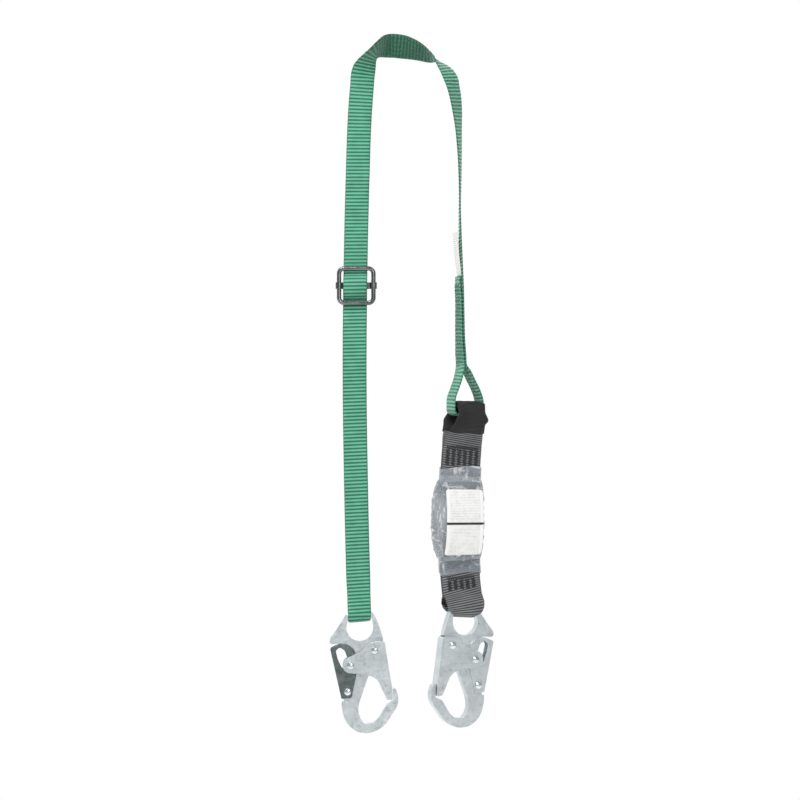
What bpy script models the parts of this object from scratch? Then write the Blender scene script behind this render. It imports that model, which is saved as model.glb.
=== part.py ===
"""Shock absorbing lanyard: adjustable webbing strap, two locking snap hooks and a tear-webbing absorber.

It hangs from its crown. The origin is the lower edge of the webbing at that point, +Z is up, +X runs
towards the absorber's leg and the front of the strap faces -Y. Lengths are in millimetres and MM turns
them into metres.
"""

import math

import bmesh
import bpy
import numpy as np
from mathutils import Matrix, Vector

MM = 0.001
GAP = 0.35                      # running gap between pieces that touch

# --- driving dimensions ---------------------------------------------------------------------------
STRAP_HALF = 12.7               # half of the 25.4 mm strap webbing
PACK_HALF = 22.0                # half of the 44 mm absorber webbing
WEB_T = 2.1                     # webbing thickness
LAYER = WEB_T + GAP             # pitch of webbing layers that lie on each other

ADJUSTER_Z = -242.6             # middle of the slide adjuster
ADJUSTER_FRAME_Y = -3.8         # plane of its wire frame
CROSSBAR_Y = -1.2               # plane of its flat crossbar
FRAME_HALF_WIDTH, FRAME_HALF_HEIGHT, FRAME_CORNER, FRAME_ROD = 18.3, 18.4, 5.6, 2.4
FRAME_X = -51.8
CROSSBAR_HALF_HEIGHT, CROSSBAR_T = 3.5, 2.4

LEFT_EYE = (-48.3, 0.0, -593.0)     # middle of the left hook's eye bar
LEFT_TILT = 5.0
RIGHT_EYE = (62.3, 0.0, -586.8)     # middle of the right hook's eye bar
RIGHT_TILT = 3.5
PACK_TURN = 20.0                    # the absorber's leg is turned this far about Z
EYE_BAR_R = 4.75

BODY_T, WEB_PLATE_T, PLATE_T = 10.0, 8.0, 1.45      # hook forging, its thinned web, the pressed plates
LOCK_INNER, GATE_INNER = 4.4, 6.15                  # half the inside width of each pressed channel
GATE_PIVOT, GATE_PIN, LOCK_PIVOT = (12.8, -38.3), (-14.2, -52.4), (-19.7, -79.9)
RIVET_R, HOLE_R, HEAD_R, HEAD_H = 2.5, 2.85, 3.6, 1.9

LINK = (63.7, 0.0, -384.3)          # middle of the loop that the strap passes through
LINK_N, LINK_H = 18.8, 16.7         # half depth and half height of that loop's centre line
STACK_MIDDLE, STACK_HALF = -491.0, 40.0
STACK_FRONT, STACK_BACK = 15.5, 24.0
FILM_T = 0.45
LINER_T = 0.8

ACROSS_PACK = np.array((math.cos(math.radians(PACK_TURN)), math.sin(math.radians(PACK_TURN)), 0.0))
FRONT_PACK = np.array((math.sin(math.radians(PACK_TURN)), -math.cos(math.radians(PACK_TURN)), 0.0))
UP = np.array((0.0, 0.0, 1.0))


# --- scene, materials and objects -----------------------------------------------------------------
for old in list(bpy.data.objects):
    bpy.data.objects.remove(old, do_unlink=True)

PARTS = bpy.data.collections.new("shock_absorbing_lanyard")
CUTTERS = bpy.data.collections.new("cutters")
for collection in (PARTS, CUTTERS):
    bpy.context.scene.collection.children.link(collection)


def material(name, colour, roughness, metallic=0.0, alpha=1.0):
    made = bpy.data.materials.new(name)
    made.use_nodes = True
    shader = made.node_tree.nodes["Principled BSDF"]
    shader.inputs["Base Color"].default_value = (*colour, 1.0)
    shader.inputs["Roughness"].default_value = roughness
    shader.inputs["Metallic"].default_value = metallic
    shader.inputs["Alpha"].default_value = alpha
    return made


GREEN = material("green_webbing", (0.12, 0.40, 0.28), 0.75)
GREEN_THREAD = material("green_thread", (0.07, 0.25, 0.17), 0.70)
GREY = material("grey_webbing", (0.12, 0.12, 0.13), 0.80)
BLACK = material("black_fabric", (0.03, 0.03, 0.03), 0.85)
BLACK_THREAD = material("black_thread", (0.02, 0.02, 0.02), 0.70)
FILM = material("clear_film", (0.80, 0.83, 0.85), 0.10, alpha=0.35)
WHITE = material("white_label", (0.85, 0.85, 0.83), 0.55)
ZINC = material("zinc_plated_steel", (0.62, 0.66, 0.68), 0.35, 1.0)
DARK_ZINC = material("dark_plated_steel", (0.28, 0.31, 0.31), 0.30, 1.0)
STEEL = material("spring_steel", (0.45, 0.45, 0.45), 0.35, 1.0)


def add(name, mesh, finish, parent=None, collection=PARTS):
    """An object for a mesh, shaded smooth except at its sharp edges."""
    made = bpy.data.objects.new(name, mesh)
    mesh.name = name
    if finish is not None:
        mesh.materials.clear()
        mesh.materials.append(finish)
    mesh.shade_smooth()
    mesh.set_sharp_from_angle(angle=math.radians(35.0))
    collection.objects.link(made)
    made.parent = parent
    if collection is CUTTERS:
        made.hide_render = True
        made.display_type = "WIRE"
    return made


def mesh_of(points, faces):
    """A mesh in metres from points in millimetres, its faces turned outwards."""
    mesh = bpy.data.meshes.new("shape")
    mesh.from_pydata([tuple(p) for p in np.asarray(points, float) * MM], [], faces)
    work = bmesh.new()
    work.from_mesh(mesh)
    bmesh.ops.recalc_face_normals(work, faces=work.faces)
    work.to_mesh(mesh)
    work.free()
    return mesh


def mesh_of_curve(curve):
    """A welded mesh of a curve's evaluated shape; the curve is removed."""
    holder = bpy.data.objects.new("curve", curve)
    bpy.context.scene.collection.objects.link(holder)
    evaluated = holder.evaluated_get(bpy.context.evaluated_depsgraph_get())
    mesh = bpy.data.meshes.new_from_object(evaluated)
    bpy.data.objects.remove(holder)
    bpy.data.curves.remove(curve)
    work = bmesh.new()
    work.from_mesh(mesh)
    bmesh.ops.remove_doubles(work, verts=work.verts, dist=0.00001)
    bmesh.ops.recalc_face_normals(work, faces=work.faces)
    work.to_mesh(mesh)
    work.free()
    return mesh


def at_origin(made, origin):
    """Moves an object's origin to a point of its own frame, leaving its surface where it is."""
    shift = Vector(origin) * MM
    made.data.transform(Matrix.Translation(-shift))
    made.location = shift
    return made


# --- outlines -------------------------------------------------------------------------------------
def arc(centre, radius, start, end, steps):
    """Points of an arc, angles in degrees."""
    angles = np.radians(np.linspace(start, end, steps + 1))
    return [(centre[0] + radius * math.cos(a), centre[1] + radius * math.sin(a)) for a in angles]


def rounded(corners, degrees_per_step=22.0):
    """A closed outline from (u, v, radius) corners; a point without a radius stays sharp."""
    outline = []
    count = len(corners)
    for i, corner in enumerate(corners):
        here = np.array(corner[:2], float)
        radius = corner[2] if len(corner) > 2 else 0.0
        to_last = np.array(corners[i - 1][:2], float) - here
        to_next = np.array(corners[(i + 1) % count][:2], float) - here
        len_last, len_next = np.linalg.norm(to_last), np.linalg.norm(to_next)
        to_last, to_next = to_last / len_last, to_next / len_next
        turn = math.pi - math.acos(np.clip(to_last @ to_next, -1.0, 1.0))
        if radius <= 0.0 or turn < math.radians(4.0):
            outline.append(tuple(here))
            continue
        back = min(radius * math.tan(turn / 2), 0.48 * len_last, 0.48 * len_next)
        radius = back / math.tan(turn / 2)
        middle = here + (to_last + to_next) / np.linalg.norm(to_last + to_next) * radius / math.cos(turn / 2)
        first = here + to_last * back - middle
        last = here + to_next * back - middle
        steps = max(1, round(math.degrees(turn) / degrees_per_step))
        for k in range(steps + 1):
            blend = math.sin((1 - k / steps) * turn) * first + math.sin(k / steps * turn) * last
            outline.append(tuple(middle + blend / math.sin(turn) if turn < 3.1 else middle + first))
    return outline


def plate(name, outline, thickness, finish, parent=None, holes=(), w=0.0, collection=PARTS):
    """A flat outline with holes, extruded to both sides of the plane w of its parent's frame."""
    curve = bpy.data.curves.new(name, "CURVE")
    curve.dimensions = "2D"
    curve.fill_mode = "BOTH"
    curve.extrude = thickness / 2 * MM
    for loop in (outline, *holes):
        spline = curve.splines.new("POLY")
        spline.points.add(len(loop) - 1)
        spline.use_cyclic_u = True
        for point, (u, v) in zip(spline.points, loop):
            point.co = (u * MM, v * MM, 0.0, 1.0)
    mesh = mesh_of_curve(curve)
    mesh.transform(Matrix.Translation((0.0, 0.0, w * MM)))
    return add(name, mesh, finish, parent, collection)


def cut(target, cutter, operation="DIFFERENCE"):
    boolean = target.modifiers.new(f"{operation.lower()}_{cutter.name}", "BOOLEAN")
    boolean.operation = operation
    boolean.object = cutter
    boolean.solver = "EXACT"
    return boolean


def rod(name, points, radius, finish, parent=None, closed=False, sides=2):
    """A round wire along points in millimetres."""
    curve = bpy.data.curves.new(name, "CURVE")
    curve.dimensions = "3D"
    curve.bevel_depth = radius * MM
    curve.bevel_resolution = sides
    curve.use_fill_caps = True
    spline = curve.splines.new("POLY")
    spline.points.add(len(points) - 1)
    spline.use_cyclic_u = closed
    for point, place in zip(spline.points, points):
        point.co = (place[0] * MM, place[1] * MM, place[2] * MM, 1.0)
    return add(name, mesh_of_curve(curve), finish, parent)


def cylinder(name, u, v, radius, low, high, parent, collection=CUTTERS, segments=16):
    """A cylinder along the third axis of its parent's frame, from low to high."""
    mesh = bpy.data.meshes.new(name)
    work = bmesh.new()
    place = Matrix.Translation(Vector((u, v, (low + high) / 2)) * MM)
    bmesh.ops.create_cone(work, cap_ends=True, segments=segments, radius1=radius * MM, radius2=radius * MM,
                          depth=(high - low) * MM, matrix=place)
    work.to_mesh(mesh)
    work.free()
    return add(name, mesh, None, parent, collection)


def block(name, low, high, parent=None, collection=CUTTERS, finish=None):
    mesh = bpy.data.meshes.new(name)
    work = bmesh.new()
    low, high = Vector(low) * MM, Vector(high) * MM
    size = high - low
    place = Matrix.Translation((low + high) / 2) @ Matrix.Diagonal((*size, 1.0))
    bmesh.ops.create_cube(work, size=1.0, matrix=place)
    work.to_mesh(mesh)
    work.free()
    return add(name, mesh, finish, parent, collection)


# --- webbing --------------------------------------------------------------------------------------
def unit(rows):
    return rows / np.linalg.norm(rows, axis=1, keepdims=True)


def smooth(rows, turn_per_step=13.0):
    """A smooth curve through rows of (x, y, z, across x, y, z, ...), with more rows where it bends or twists.

    Each span is a cubic whose end slopes come from the rows on both sides, weighed by their distances.
    """
    rows = np.asarray(rows, float)
    chord = rows[1:] - rows[:-1]
    length = np.linalg.norm(chord[:, :3], axis=1, keepdims=True)
    rate = chord / length
    slope = np.vstack([rate[:1], (rate[:-1] * length[1:] + rate[1:] * length[:-1])
                       / (length[:-1] + length[1:]), rate[-1:]])
    made = []
    for i in range(len(chord)):
        ends = unit(slope[i:i + 2, :3])
        along = chord[i, :3] / length[i]
        turn = sum(math.degrees(math.acos(np.clip(end @ along, -1, 1))) for end in ends)
        twist = math.degrees(math.acos(np.clip(np.prod(unit(rows[i:i + 2, 3:6]), axis=0).sum(), -1, 1)))
        steps = max(1, math.ceil(max(turn, 2.2 * twist) / turn_per_step))
        for t in np.arange(steps) / steps:
            made.append((2 * t**3 - 3 * t**2 + 1) * rows[i] + (3 * t**2 - 2 * t**3) * rows[i + 1]
                        + ((t**3 - 2 * t**2 + t) * slope[i] + (t**3 - t**2) * slope[i + 1]) * length[i])
    made.append(rows[-1])
    return np.array(made)


def frames(rows):
    """Centre, direction across, surface normal and half width at each row of a strip."""
    centre, half = rows[:, :3], rows[:, 6:7]
    step = unit(centre[1:] - centre[:-1])
    along = unit(np.vstack([step[:1], step[:-1] + step[1:], step[-1:]]))
    across = rows[:, 3:6]
    across = unit(across - along * np.sum(across * along, axis=1, keepdims=True))
    return centre, across, np.cross(along, across), half


def loft(rings, closed_ends=True):
    """Points and faces of a skin over equal rings of points, capped at both ends if wanted."""
    count, size = len(rings), len(rings[0])
    faces = []
    for i in range(count - 1):
        for k in range(size):
            n = (k + 1) % size
            faces.append((i * size + k, i * size + n, (i + 1) * size + n, (i + 1) * size + k))
    if closed_ends:
        faces.append(tuple(range(size))[::-1])
        faces.append(tuple((count - 1) * size + k for k in range(size)))
    return np.concatenate(rings), faces


def strip_rings(rows, thickness, spread=0.0):
    """Four corners of a flat strip's section at each row, grown by spread on all sides."""
    centre, across, normal, half = frames(rows)
    sides = ((1, 1), (1, -1), (-1, -1), (-1, 1))
    corners = [centre + a * across * (half + spread) + n * normal * (thickness / 2 + spread) for a, n in sides]
    return list(np.stack(corners, axis=1))


def strip(name, rows, thickness, finish, parent=None):
    """A flat strip of webbing along rows of (x, y, z, across x, y, z, half width)."""
    return add(name, mesh_of(*loft(strip_rings(rows, thickness))), finish, parent)


def strip_tube(name, rows, thickness, gap, wall, finish):
    """A flat tube that a strip of this thickness passes through, open at both ends."""
    outer = strip_rings(rows, thickness, gap + wall)
    inner = strip_rings(rows, thickness, gap)
    points, faces = loft(outer, closed_ends=False)
    inner_points, inner_faces = loft(inner, closed_ends=False)
    first = len(points)
    faces += [tuple(first + k for k in reversed(face)) for face in inner_faces]
    last = (len(rows) - 1) * 4
    for k in range(4):
        n = (k + 1) % 4
        faces.append((k, first + k, first + n, n))
        faces.append((last + k, last + n, first + last + n, first + last + k))
    return add(name, mesh_of(np.vstack([points, inner_points]), faces), finish)


def at_length(rows, distance):
    """Rows read at given distances along a strip."""
    steps = np.linalg.norm(rows[1:, :3] - rows[:-1, :3], axis=1)
    along = np.concatenate([[0.0], np.cumsum(steps)])
    return np.stack([np.interp(distance, along, column) for column in rows.T], axis=1)


def zigzag(name, rows, height, half, turns, finish, thread=0.4):
    """Sewing that lies on a strip's surface: a square wave across it, at this height over its middle."""
    whole = np.linalg.norm(rows[1:, :3] - rows[:-1, :3], axis=1).sum()
    place = np.repeat(np.linspace(0.02, 0.98, turns + 1), 2) * whole
    side = np.where(np.isin(np.arange(len(place)) % 4, (1, 2)), half, -half)
    read = at_length(np.hstack(frames(rows)), place)
    return rod(name, read[:, :3] + read[:, 3:6] * side[:, None] + read[:, 6:9] * height, thread, finish, sides=1)


# --- main strap -----------------------------------------------------------------------------------
LEFT_LEG = ((-23, -45.3), (-60, -48.0), (-120, -50.2), (-215, -52.5), (-350, -53.6), (-450, -52.2),
            (-530, -50.4), (-593, -48.4))
LEG_ROWS = smooth([(x, 0.0, z, -1.0, 0.0, 0.0, STRAP_HALF) for z, x in LEFT_LEG], 1.0)


def leg_x(z):
    """Middle of the left leg at a height."""
    return float(np.interp(-z, -LEG_ROWS[:, 2], LEG_ROWS[:, 0]))


def leg_row(y, z, half=STRAP_HALF):
    """A row of the left leg; near the hook the webbing turns with the hook's eye bar."""
    tilt = math.radians(LEFT_TILT) * np.clip((-z - 545.0) / 40.0, 0.0, 1.0)
    return leg_x(z), y, z, -math.cos(tilt), 0.0, -math.sin(tilt), half


def sewn_end():
    """The webbing's end: up to the crossbar, over it and down again as the back layer."""
    under = ((0.0, -75), (0.0, -55), (0.6, -36), (2.5, -24), (2.8, -19), (2.54, -14.4), (0.56, -10.55),
             (-1.75, -7.73), (-3.27, -5.08), (-3.8, -2.5))
    over = arc((CROSSBAR_Y, CROSSBAR_HALF_HEIGHT), 2.6, 180, 0, 6)
    back = ((1.4, -2.5), (2.75, -9.14), (5.07, -13.8), (5.35, -20), (5.0, -26), (3.1, -38), (2.45, -55),
            (2.45, -75), (1.3, -100))
    return [leg_row(y, ADJUSTER_Z + z) for y, z in (*under, *over, *back)]


def round_left_eye():
    """Down the back, round the hook's eye bar and up the front."""
    middle = LEFT_EYE[2]
    radius = EYE_BAR_R + GAP + 0.15 + WEB_T / 2
    bend = arc((0.0, middle), radius, 0, -180, 10)
    down = ((1.3, -450), (1.3, -535), (1.9, -553), (3.9, -573), (5.7, -585))
    rows = [leg_row(y, z, 12.3 if z < -560 else STRAP_HALF) for y, z in down]
    rows += [leg_row(y, z, 12.2 - 0.3 * (middle - z) / radius) for y, z in bend]
    rows += [leg_row(-y, z, 12.3 if z < -560 else STRAP_HALF) for y, z in reversed(down)]
    return rows


def through_adjuster():
    """The running layer: up the front, over the crossbar and behind both bars of the frame."""
    lower = ((-1.3, -100), (-2.45, -75), (-2.45, -55), (-1.85, -36), (0.05, -24), (0.2, -20), (0.0, -15),
             (-1.6, -12), (-3.9, -9.2), (-5.7, -6), (-6.25, -3))
    upper = ((-6.25, 3), (-5.6, 6), (-4.0, 8.4), (-1.8, 11), (-0.2, 13.8), (0.0, 20))
    return [leg_row(y, ADJUSTER_Z + z) for y, z in (*lower, *upper)]


# The crown as seen from the front: x, z of the webbing's outer edge, x, z of its inner edge, and the depth
# of its middle. Its width fixes how far the outer edge stands in front of the inner one.
CROWN_EDGES = (
    (-58.2, -28.5, -33.2, -30.5, 0.0), (-57.0, -15.5, -31.9, -17.0, -1.0), (-54.6, -9.6, -30.8, -9.6, -3.0),
    (-50.4, -4.6, -29.8, -3.6, -5.5), (-43.9, 1.4, -29.0, 0.2, -7.5), (-36.4, 8.5, -28.6, 1.0, -8.0),
    (-29.0, 16.4, -28.0, 1.1, -6.0), (-22.8, 22.6, -25.5, 1.2, -2.0), (-16.5, 25.5, -19.5, 1.1, 3.0),
    (-10.0, 26.0, -12.0, 0.9, 5.0), (-4.0, 25.3, -5.5, 0.4, 6.0), (1.5, 23.7, 0.5, 0.0, 5.5),
    (10.7, 19.2, 9.0, -1.0, 2.5), (18.0, 14.0, 17.0, -2.4, 0.0), (24.0, 8.3, 23.5, -3.5, -2.0),
    (29.0, 2.5, 30.0, -3.6, -3.5), (31.9, -4.0, 36.5, -3.6, -4.3), (34.0, -9.5, 43.5, -6.8, -5.3),
    (37.3, -16.0, 51.0, -12.5, -6.8), (40.5, -23.5, 56.4, -21.3, -8.3), (43.7, -30.9, 58.2, -31.0, -9.0),
    (46.6, -40.0, 59.8, -41.0, -9.0), (49.3, -52.0, 60.6, -53.0, -8.5), (53.6, -76.7, 60.4, -76.7, -6.8),
    (55.8, -98.0, 60.2, -98.0, -4.5), (57.6, -129.9, 59.6, -129.9, -2.0), (58.4, -161.9, 58.4, -161.9, -0.5),
)


def crown():
    """Up the left leg, flat across the crown with its top edge tipping forward, and down edge-on."""
    rows = [leg_row(0.0, z) for z in (-200, -160, -120, -80, -55)]
    for outer_x, outer_z, inner_x, inner_z, y in CROWN_EDGES:
        across_x, across_z = ((outer_x - inner_x) / (2 * STRAP_HALF), (outer_z - inner_z) / (2 * STRAP_HALF))
        across_y = -math.sqrt(max(0.0, 1.0 - across_x**2 - across_z**2))
        middle = ((outer_x + inner_x) / 2, y, (outer_z + inner_z) / 2)
        rows.append((*middle, across_x, across_y, across_z, STRAP_HALF))
    return rows


def turned(degrees):
    """The direction across the strap's right leg, turned about Z."""
    return math.sin(math.radians(degrees)), -math.cos(math.radians(degrees)), 0.0


SPLICE = ((58.8, -190, 3), (59.3, -220, 7), (59.5, -247, 12), (59.7, -275, 14), (60.0, -300, 16), (60.7, -318, 19),
          (61.3, -327, 20))


def splice_row(z, offset):
    """A row beside the strap's right leg, this far to its left."""
    table = np.array(SPLICE, float)
    x, turn = (float(np.interp(-z, -table[:, 1], column)) for column in (table[:, 0], table[:, 2]))
    left = math.radians(turn)
    return x - offset * math.cos(left), -offset * math.sin(left), z, *turned(turn), STRAP_HALF


def eye_loop():
    """Down the right leg, round the loop that holds the absorber and up again as the sewn-on tail."""
    down = [(x, 0.0, z, *turned(turn), STRAP_HALF) for x, z, turn in SPLICE]
    middle, side, corner = np.array((LINK[0] + 0.35, 0.0, 0.0)), 16.1, 5.0
    right = [(1.5, -333.5), (6.2, -342.5), (12.0, -353.6), (15.6, -364.0), (side, -371.0)]
    bend = arc((side - corner, LINK[2] + 4.9 + corner), corner, 0, -90, 4)
    ring = right + bend + [(-a, z) for a, z in reversed(bend)]
    ring += [(-side, -371.0), (-15.6, -362.0), (-11.6, -351.0), (-8.2, -341.5), (-6.4, -334.5)]
    loop = []
    for a, z in ring:
        place = middle + a * ACROSS_PACK
        loop.append((place[0], place[1], z, *FRONT_PACK, STRAP_HALF))
    up = [splice_row(z, LAYER + extra) for z, extra in ((-327, 0), (-318, 0), (-300, 0), (-275, 0), (-256, 0.1),
                                                       (-246, 0.7), (-232.5, 0.7))]
    return down + loop + up


STRAP_ROWS = smooth(sewn_end() + round_left_eye() + through_adjuster() + crown() + eye_loop())
strip("main_webbing", STRAP_ROWS, WEB_T, GREEN)

crown_rows = STRAP_ROWS[(STRAP_ROWS[:, 2] > 0.0) & (np.abs(STRAP_ROWS[:, 0] - 3.0) < 24.0)]
zigzag("crown_stitching", crown_rows, WEB_T / 2 + GAP + 0.9, 10.0, 10, GREEN_THREAD)
tail_rows = smooth([splice_row(z, LAYER) for z in (-326, -318, -300, -275, -258)])
zigzag("splice_stitching", tail_rows, -(WEB_T / 2 + GAP + 0.5), 9.5, 14, GREEN_THREAD)
sewn_rows = smooth([leg_row(y, ADJUSTER_Z + z) for y, z in ((3.1, -38), (2.6, -48), (2.45, -60), (2.45, -74))])
zigzag("adjuster_stitching", sewn_rows, WEB_T / 2 + GAP + 0.5, 9.5, 7, GREEN_THREAD)

TAG_T, TAG_HALF = 0.4, 10.5
tag_rows = []
for z, offset, turn in ((-246, 1.6, 12), (-233, 1.6, 10), (-226, 2.3, 11.5), (-212, 3.8, 13), (-186, 5.4, 14)):
    tag_rows.append((*splice_row(z, offset)[:3], *turned(turn), TAG_HALF))
strip("id_tag", smooth(tag_rows), TAG_T, WHITE)


# --- slide adjuster -------------------------------------------------------------------------------
def frame_path():
    """Centre line of the adjuster's frame: a rectangle with round corners."""
    corner = ((FRAME_HALF_WIDTH, FRAME_HALF_HEIGHT), (FRAME_HALF_WIDTH, -FRAME_HALF_HEIGHT),
              (-FRAME_HALF_WIDTH, -FRAME_HALF_HEIGHT), (-FRAME_HALF_WIDTH, FRAME_HALF_HEIGHT))
    outline = rounded([(x, z, FRAME_CORNER) for x, z in corner])
    return [(x, 0.0, z) for x, z in outline]


frame_rod = rod("adjuster_frame", frame_path(), FRAME_ROD, ZINC, closed=True, sides=3)
frame_rod.location = Vector((FRAME_X, ADJUSTER_FRAME_Y, ADJUSTER_Z)) * MM

crossbar_base = bpy.data.objects.new("crossbar_base", None)
PARTS.objects.link(crossbar_base)
crossbar_base.location = Vector((FRAME_X, ADJUSTER_FRAME_Y, ADJUSTER_Z)) * MM
flat_y = CROSSBAR_Y - ADJUSTER_FRAME_Y
crossbar = block("adjuster_crossbar", (-17.6, flat_y - CROSSBAR_T / 2, -CROSSBAR_HALF_HEIGHT),
                 (17.6, flat_y + CROSSBAR_T / 2, CROSSBAR_HALF_HEIGHT), crossbar_base, PARTS, ZINC)
for side, label in ((-1, "left"), (1, "right")):
    sleeve = cylinder(f"{label}_rail_sleeve", 0.0, 0.0, FRAME_ROD + GAP + 0.95, -CROSSBAR_HALF_HEIGHT,
                      CROSSBAR_HALF_HEIGHT, crossbar_base)
    sleeve.location = Vector((side * FRAME_HALF_WIDTH, 0.0, 0.0)) * MM
    cut(crossbar, sleeve, "UNION")
for side, label in ((-1, "left"), (1, "right")):
    bore = cylinder(f"{label}_rail_bore", 0.0, 0.0, FRAME_ROD + GAP, -9.0, 9.0, crossbar_base)
    bore.location = Vector((side * FRAME_HALF_WIDTH, 0.0, 0.0)) * MM
    cut(crossbar, bore)


# --- snap hooks -----------------------------------------------------------------------------------
def body_outline():
    """The forging seen from the side: eye, arms, hub, spine, bowl and nose, clockwise from the eye."""
    hub = arc(GATE_PIVOT, 9.5, 48, -38, 6)
    return rounded([
        (-12.5, 4.8, 4), (12.3, 4.8, 4), (16.6, -3.7, 5), (19.2, -12.0, 20), (22.9, -28.4, 1.2), (19.6, -30.4, 0.6),
        *hub, (12.5, -55.0, 10), (4.0, -64.6, 8), (-8.3, -92.5, 12), (-10.8, -101.5, 10), (-8.6, -110.5, 7),
        (-4.8, -115.4, 4), (4.6, -115.4, 7), (10.6, -111.0, 12), (20.5, -96.9, 1), (27.9, -94.1, 0.8),
        (28.5, -80.9, 1), (31.4, -80.9, 1.5), (34.1, -92.5, 10), (31.0, -101.2, 10), (16.7, -118.8, 14),
        (5.5, -125.0, 16), (-6.5, -126.2, 14), (-17.7, -120.7, 14), (-25.2, -110.5, 14), (-27.5, -98.0, 20),
        (-27.2, -90.3, 0.8), (-24.7, -89.9, 0.5), (-24.4, -73.0, 12), (-21.0, -59.8, 3), (-14.8, -57.2, 2),
        (-10.7, -55.6, 3), (-9.6, -50.5, 4), (-12.4, -44.0, 8), (-13.2, -37.0, 8), (-15.5, -31.4, 4),
        (-21.5, -28.3, 4), (-32.6, -28.3, 1), (-34.3, -26.0, 2), (-33.5, -22.2, 4), (-27.2, -15.0, 10),
        (-17.9, -3.0, 5)])


def eye_window():
    """The opening that the webbing passes through: straight at the bar, half round below."""
    return rounded([(-13.1, -4.9, 2), (13.1, -4.9, 2), *arc((-1.0, -13.2), 14.4, 2, -182, 11)])


def gate_outline():
    """The gate's side plate: round arm end, hub, long edge along the mouth and tip, clockwise."""
    arm_end = arc((-14.2, -52.0), 8.5, 258, 100, 8)
    return rounded([
        *arm_end, (-9.5, -41.2, 4), (-4.6, -39.8, 4), (3.0, -33.6, 5), (9.0, -29.5, 6), (21.5, -29.0, 3),
        (24.3, -31.5, 2), (26.4, -64.4, 30), (27.9, -80.5, 20), (27.3, -93.0, 0.8), (21.2, -91.6, 1),
        (13.6, -71.0, 8), (8.6, -66.4, 8), (2.0, -64.0, 10), (-8.3, -61.5, 12)])


def lock_outline():
    """The lock lever's side plate, clockwise from its thumb end."""
    return rounded([
        (-34.3, -32.5, 1.5), (-29.4, -30.6, 6), (-22.0, -28.4, 6), (-15.0, -29.8, 5), (-9.0, -35.6, 5),
        (-7.2, -42.0, 8), (-8.4, -61.6, 12), (-16.3, -87.0, 1.2), (-26.9, -87.0, 1.2)])


def lock_window():
    """Thumb window of the lock and the slot in it that traps the gate's pin."""
    return rounded([
        (-28.9, -36.2, 3), (-24.2, -31.6, 4), (-19.0, -36.2, 3), (-17.0, -43.0, 3), (-10.7, -50.3, 3),
        (-11.2, -55.0, 3), (-15.0, -56.4, 3), (-24.0, -54.8, 2), (-27.3, -46.0, 10)])


def gate_hollow():
    """What is taken out between the gate's side plates, leaving its back along the mouth."""
    return [(-40, -10), (22.6, -10), (22.7, -31.5), (24.8, -64.4), (26.3, -80.5), (25.6, -105), (-40, -105)]


def lock_hollow():
    """What is taken out between the lock's side plates, leaving its back outside the spine."""
    return [(-32.8, -15), (10, -15), (10, -100), (-24.7, -100), (-25.35, -87), (-32.75, -32.5)]


def rivet(name, pivot, half_grip, parent):
    """A rivet across the hook: shank and two domed heads, turned about its own axis."""
    dome = arc((0.0, 0.0), 1.0, 90, 0, 3)
    head = [(HEAD_R * x, half_grip + HEAD_H * y) for x, y in dome]
    half = head + [(RIVET_R, half_grip)]
    profile = half + [(x, -w) for x, w in reversed(half)]
    rings = []
    for x, w in profile[1:-1]:
        rings.append(np.array([(x * math.cos(a), x * math.sin(a), w) for a in np.arange(12) * math.pi / 6]))
    points, faces = loft(rings, closed_ends=False)
    count = len(points)
    points = np.vstack([points, [(0, 0, profile[0][1]), (0, 0, profile[-1][1])]])
    for k in range(12):
        n = (k + 1) % 12
        faces.append((count, n, k))
        faces.append((count + 1, count - 12 + k, count - 12 + n))
    made = add(name, mesh_of(points, faces), ZINC, parent)
    made.location = Vector((*pivot, 0.0)) * MM
    return made


def coil_spring(name, pivot, radius, wire, start_w, end_w, turns, start_angle, parent, leg=0.0):
    """A torsion spring round a rivet, its far end running straight on along its tangent for leg mm."""
    steps = round(turns * 10)
    path = []
    for k in range(steps + 1):
        angle = math.radians(start_angle) + 2 * math.pi * turns * k / steps
        path.append((radius * math.cos(angle), radius * math.sin(angle), start_w + (end_w - start_w) * k / steps))
    if leg > 0.0:
        tangent = np.array((-math.sin(angle), math.cos(angle), 0.0))
        path.append(tuple(np.array(path[-1]) + tangent * leg))
    made = rod(name, path, wire, STEEL, parent, sides=1)
    made.location = Vector((*pivot, 0.0)) * MM
    return made


def soften_bowl(body):
    """Round the forging's rims: wide on the bowl and nose, narrow round the slim eye."""
    mesh = body.data
    weight = mesh.attributes.new("bevel_weight_edge", "FLOAT", "EDGE")
    for edge in mesh.edges:
        ends = [mesh.vertices[index].co for index in edge.vertices]
        rim = abs(ends[0].z - ends[1].z) < 1e-6 and edge.use_edge_sharp
        in_bowl = (ends[0].y + ends[1].y) / 2 < -88 * MM
        weight.data[edge.index].value = (1.0 if in_bowl else 0.45) if rim else 0.0
    bevel = body.modifiers.new("rounded_rims", "BEVEL")
    bevel.limit_method = "WEIGHT"
    bevel.width = 2.7 * MM
    bevel.segments = 2


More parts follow.
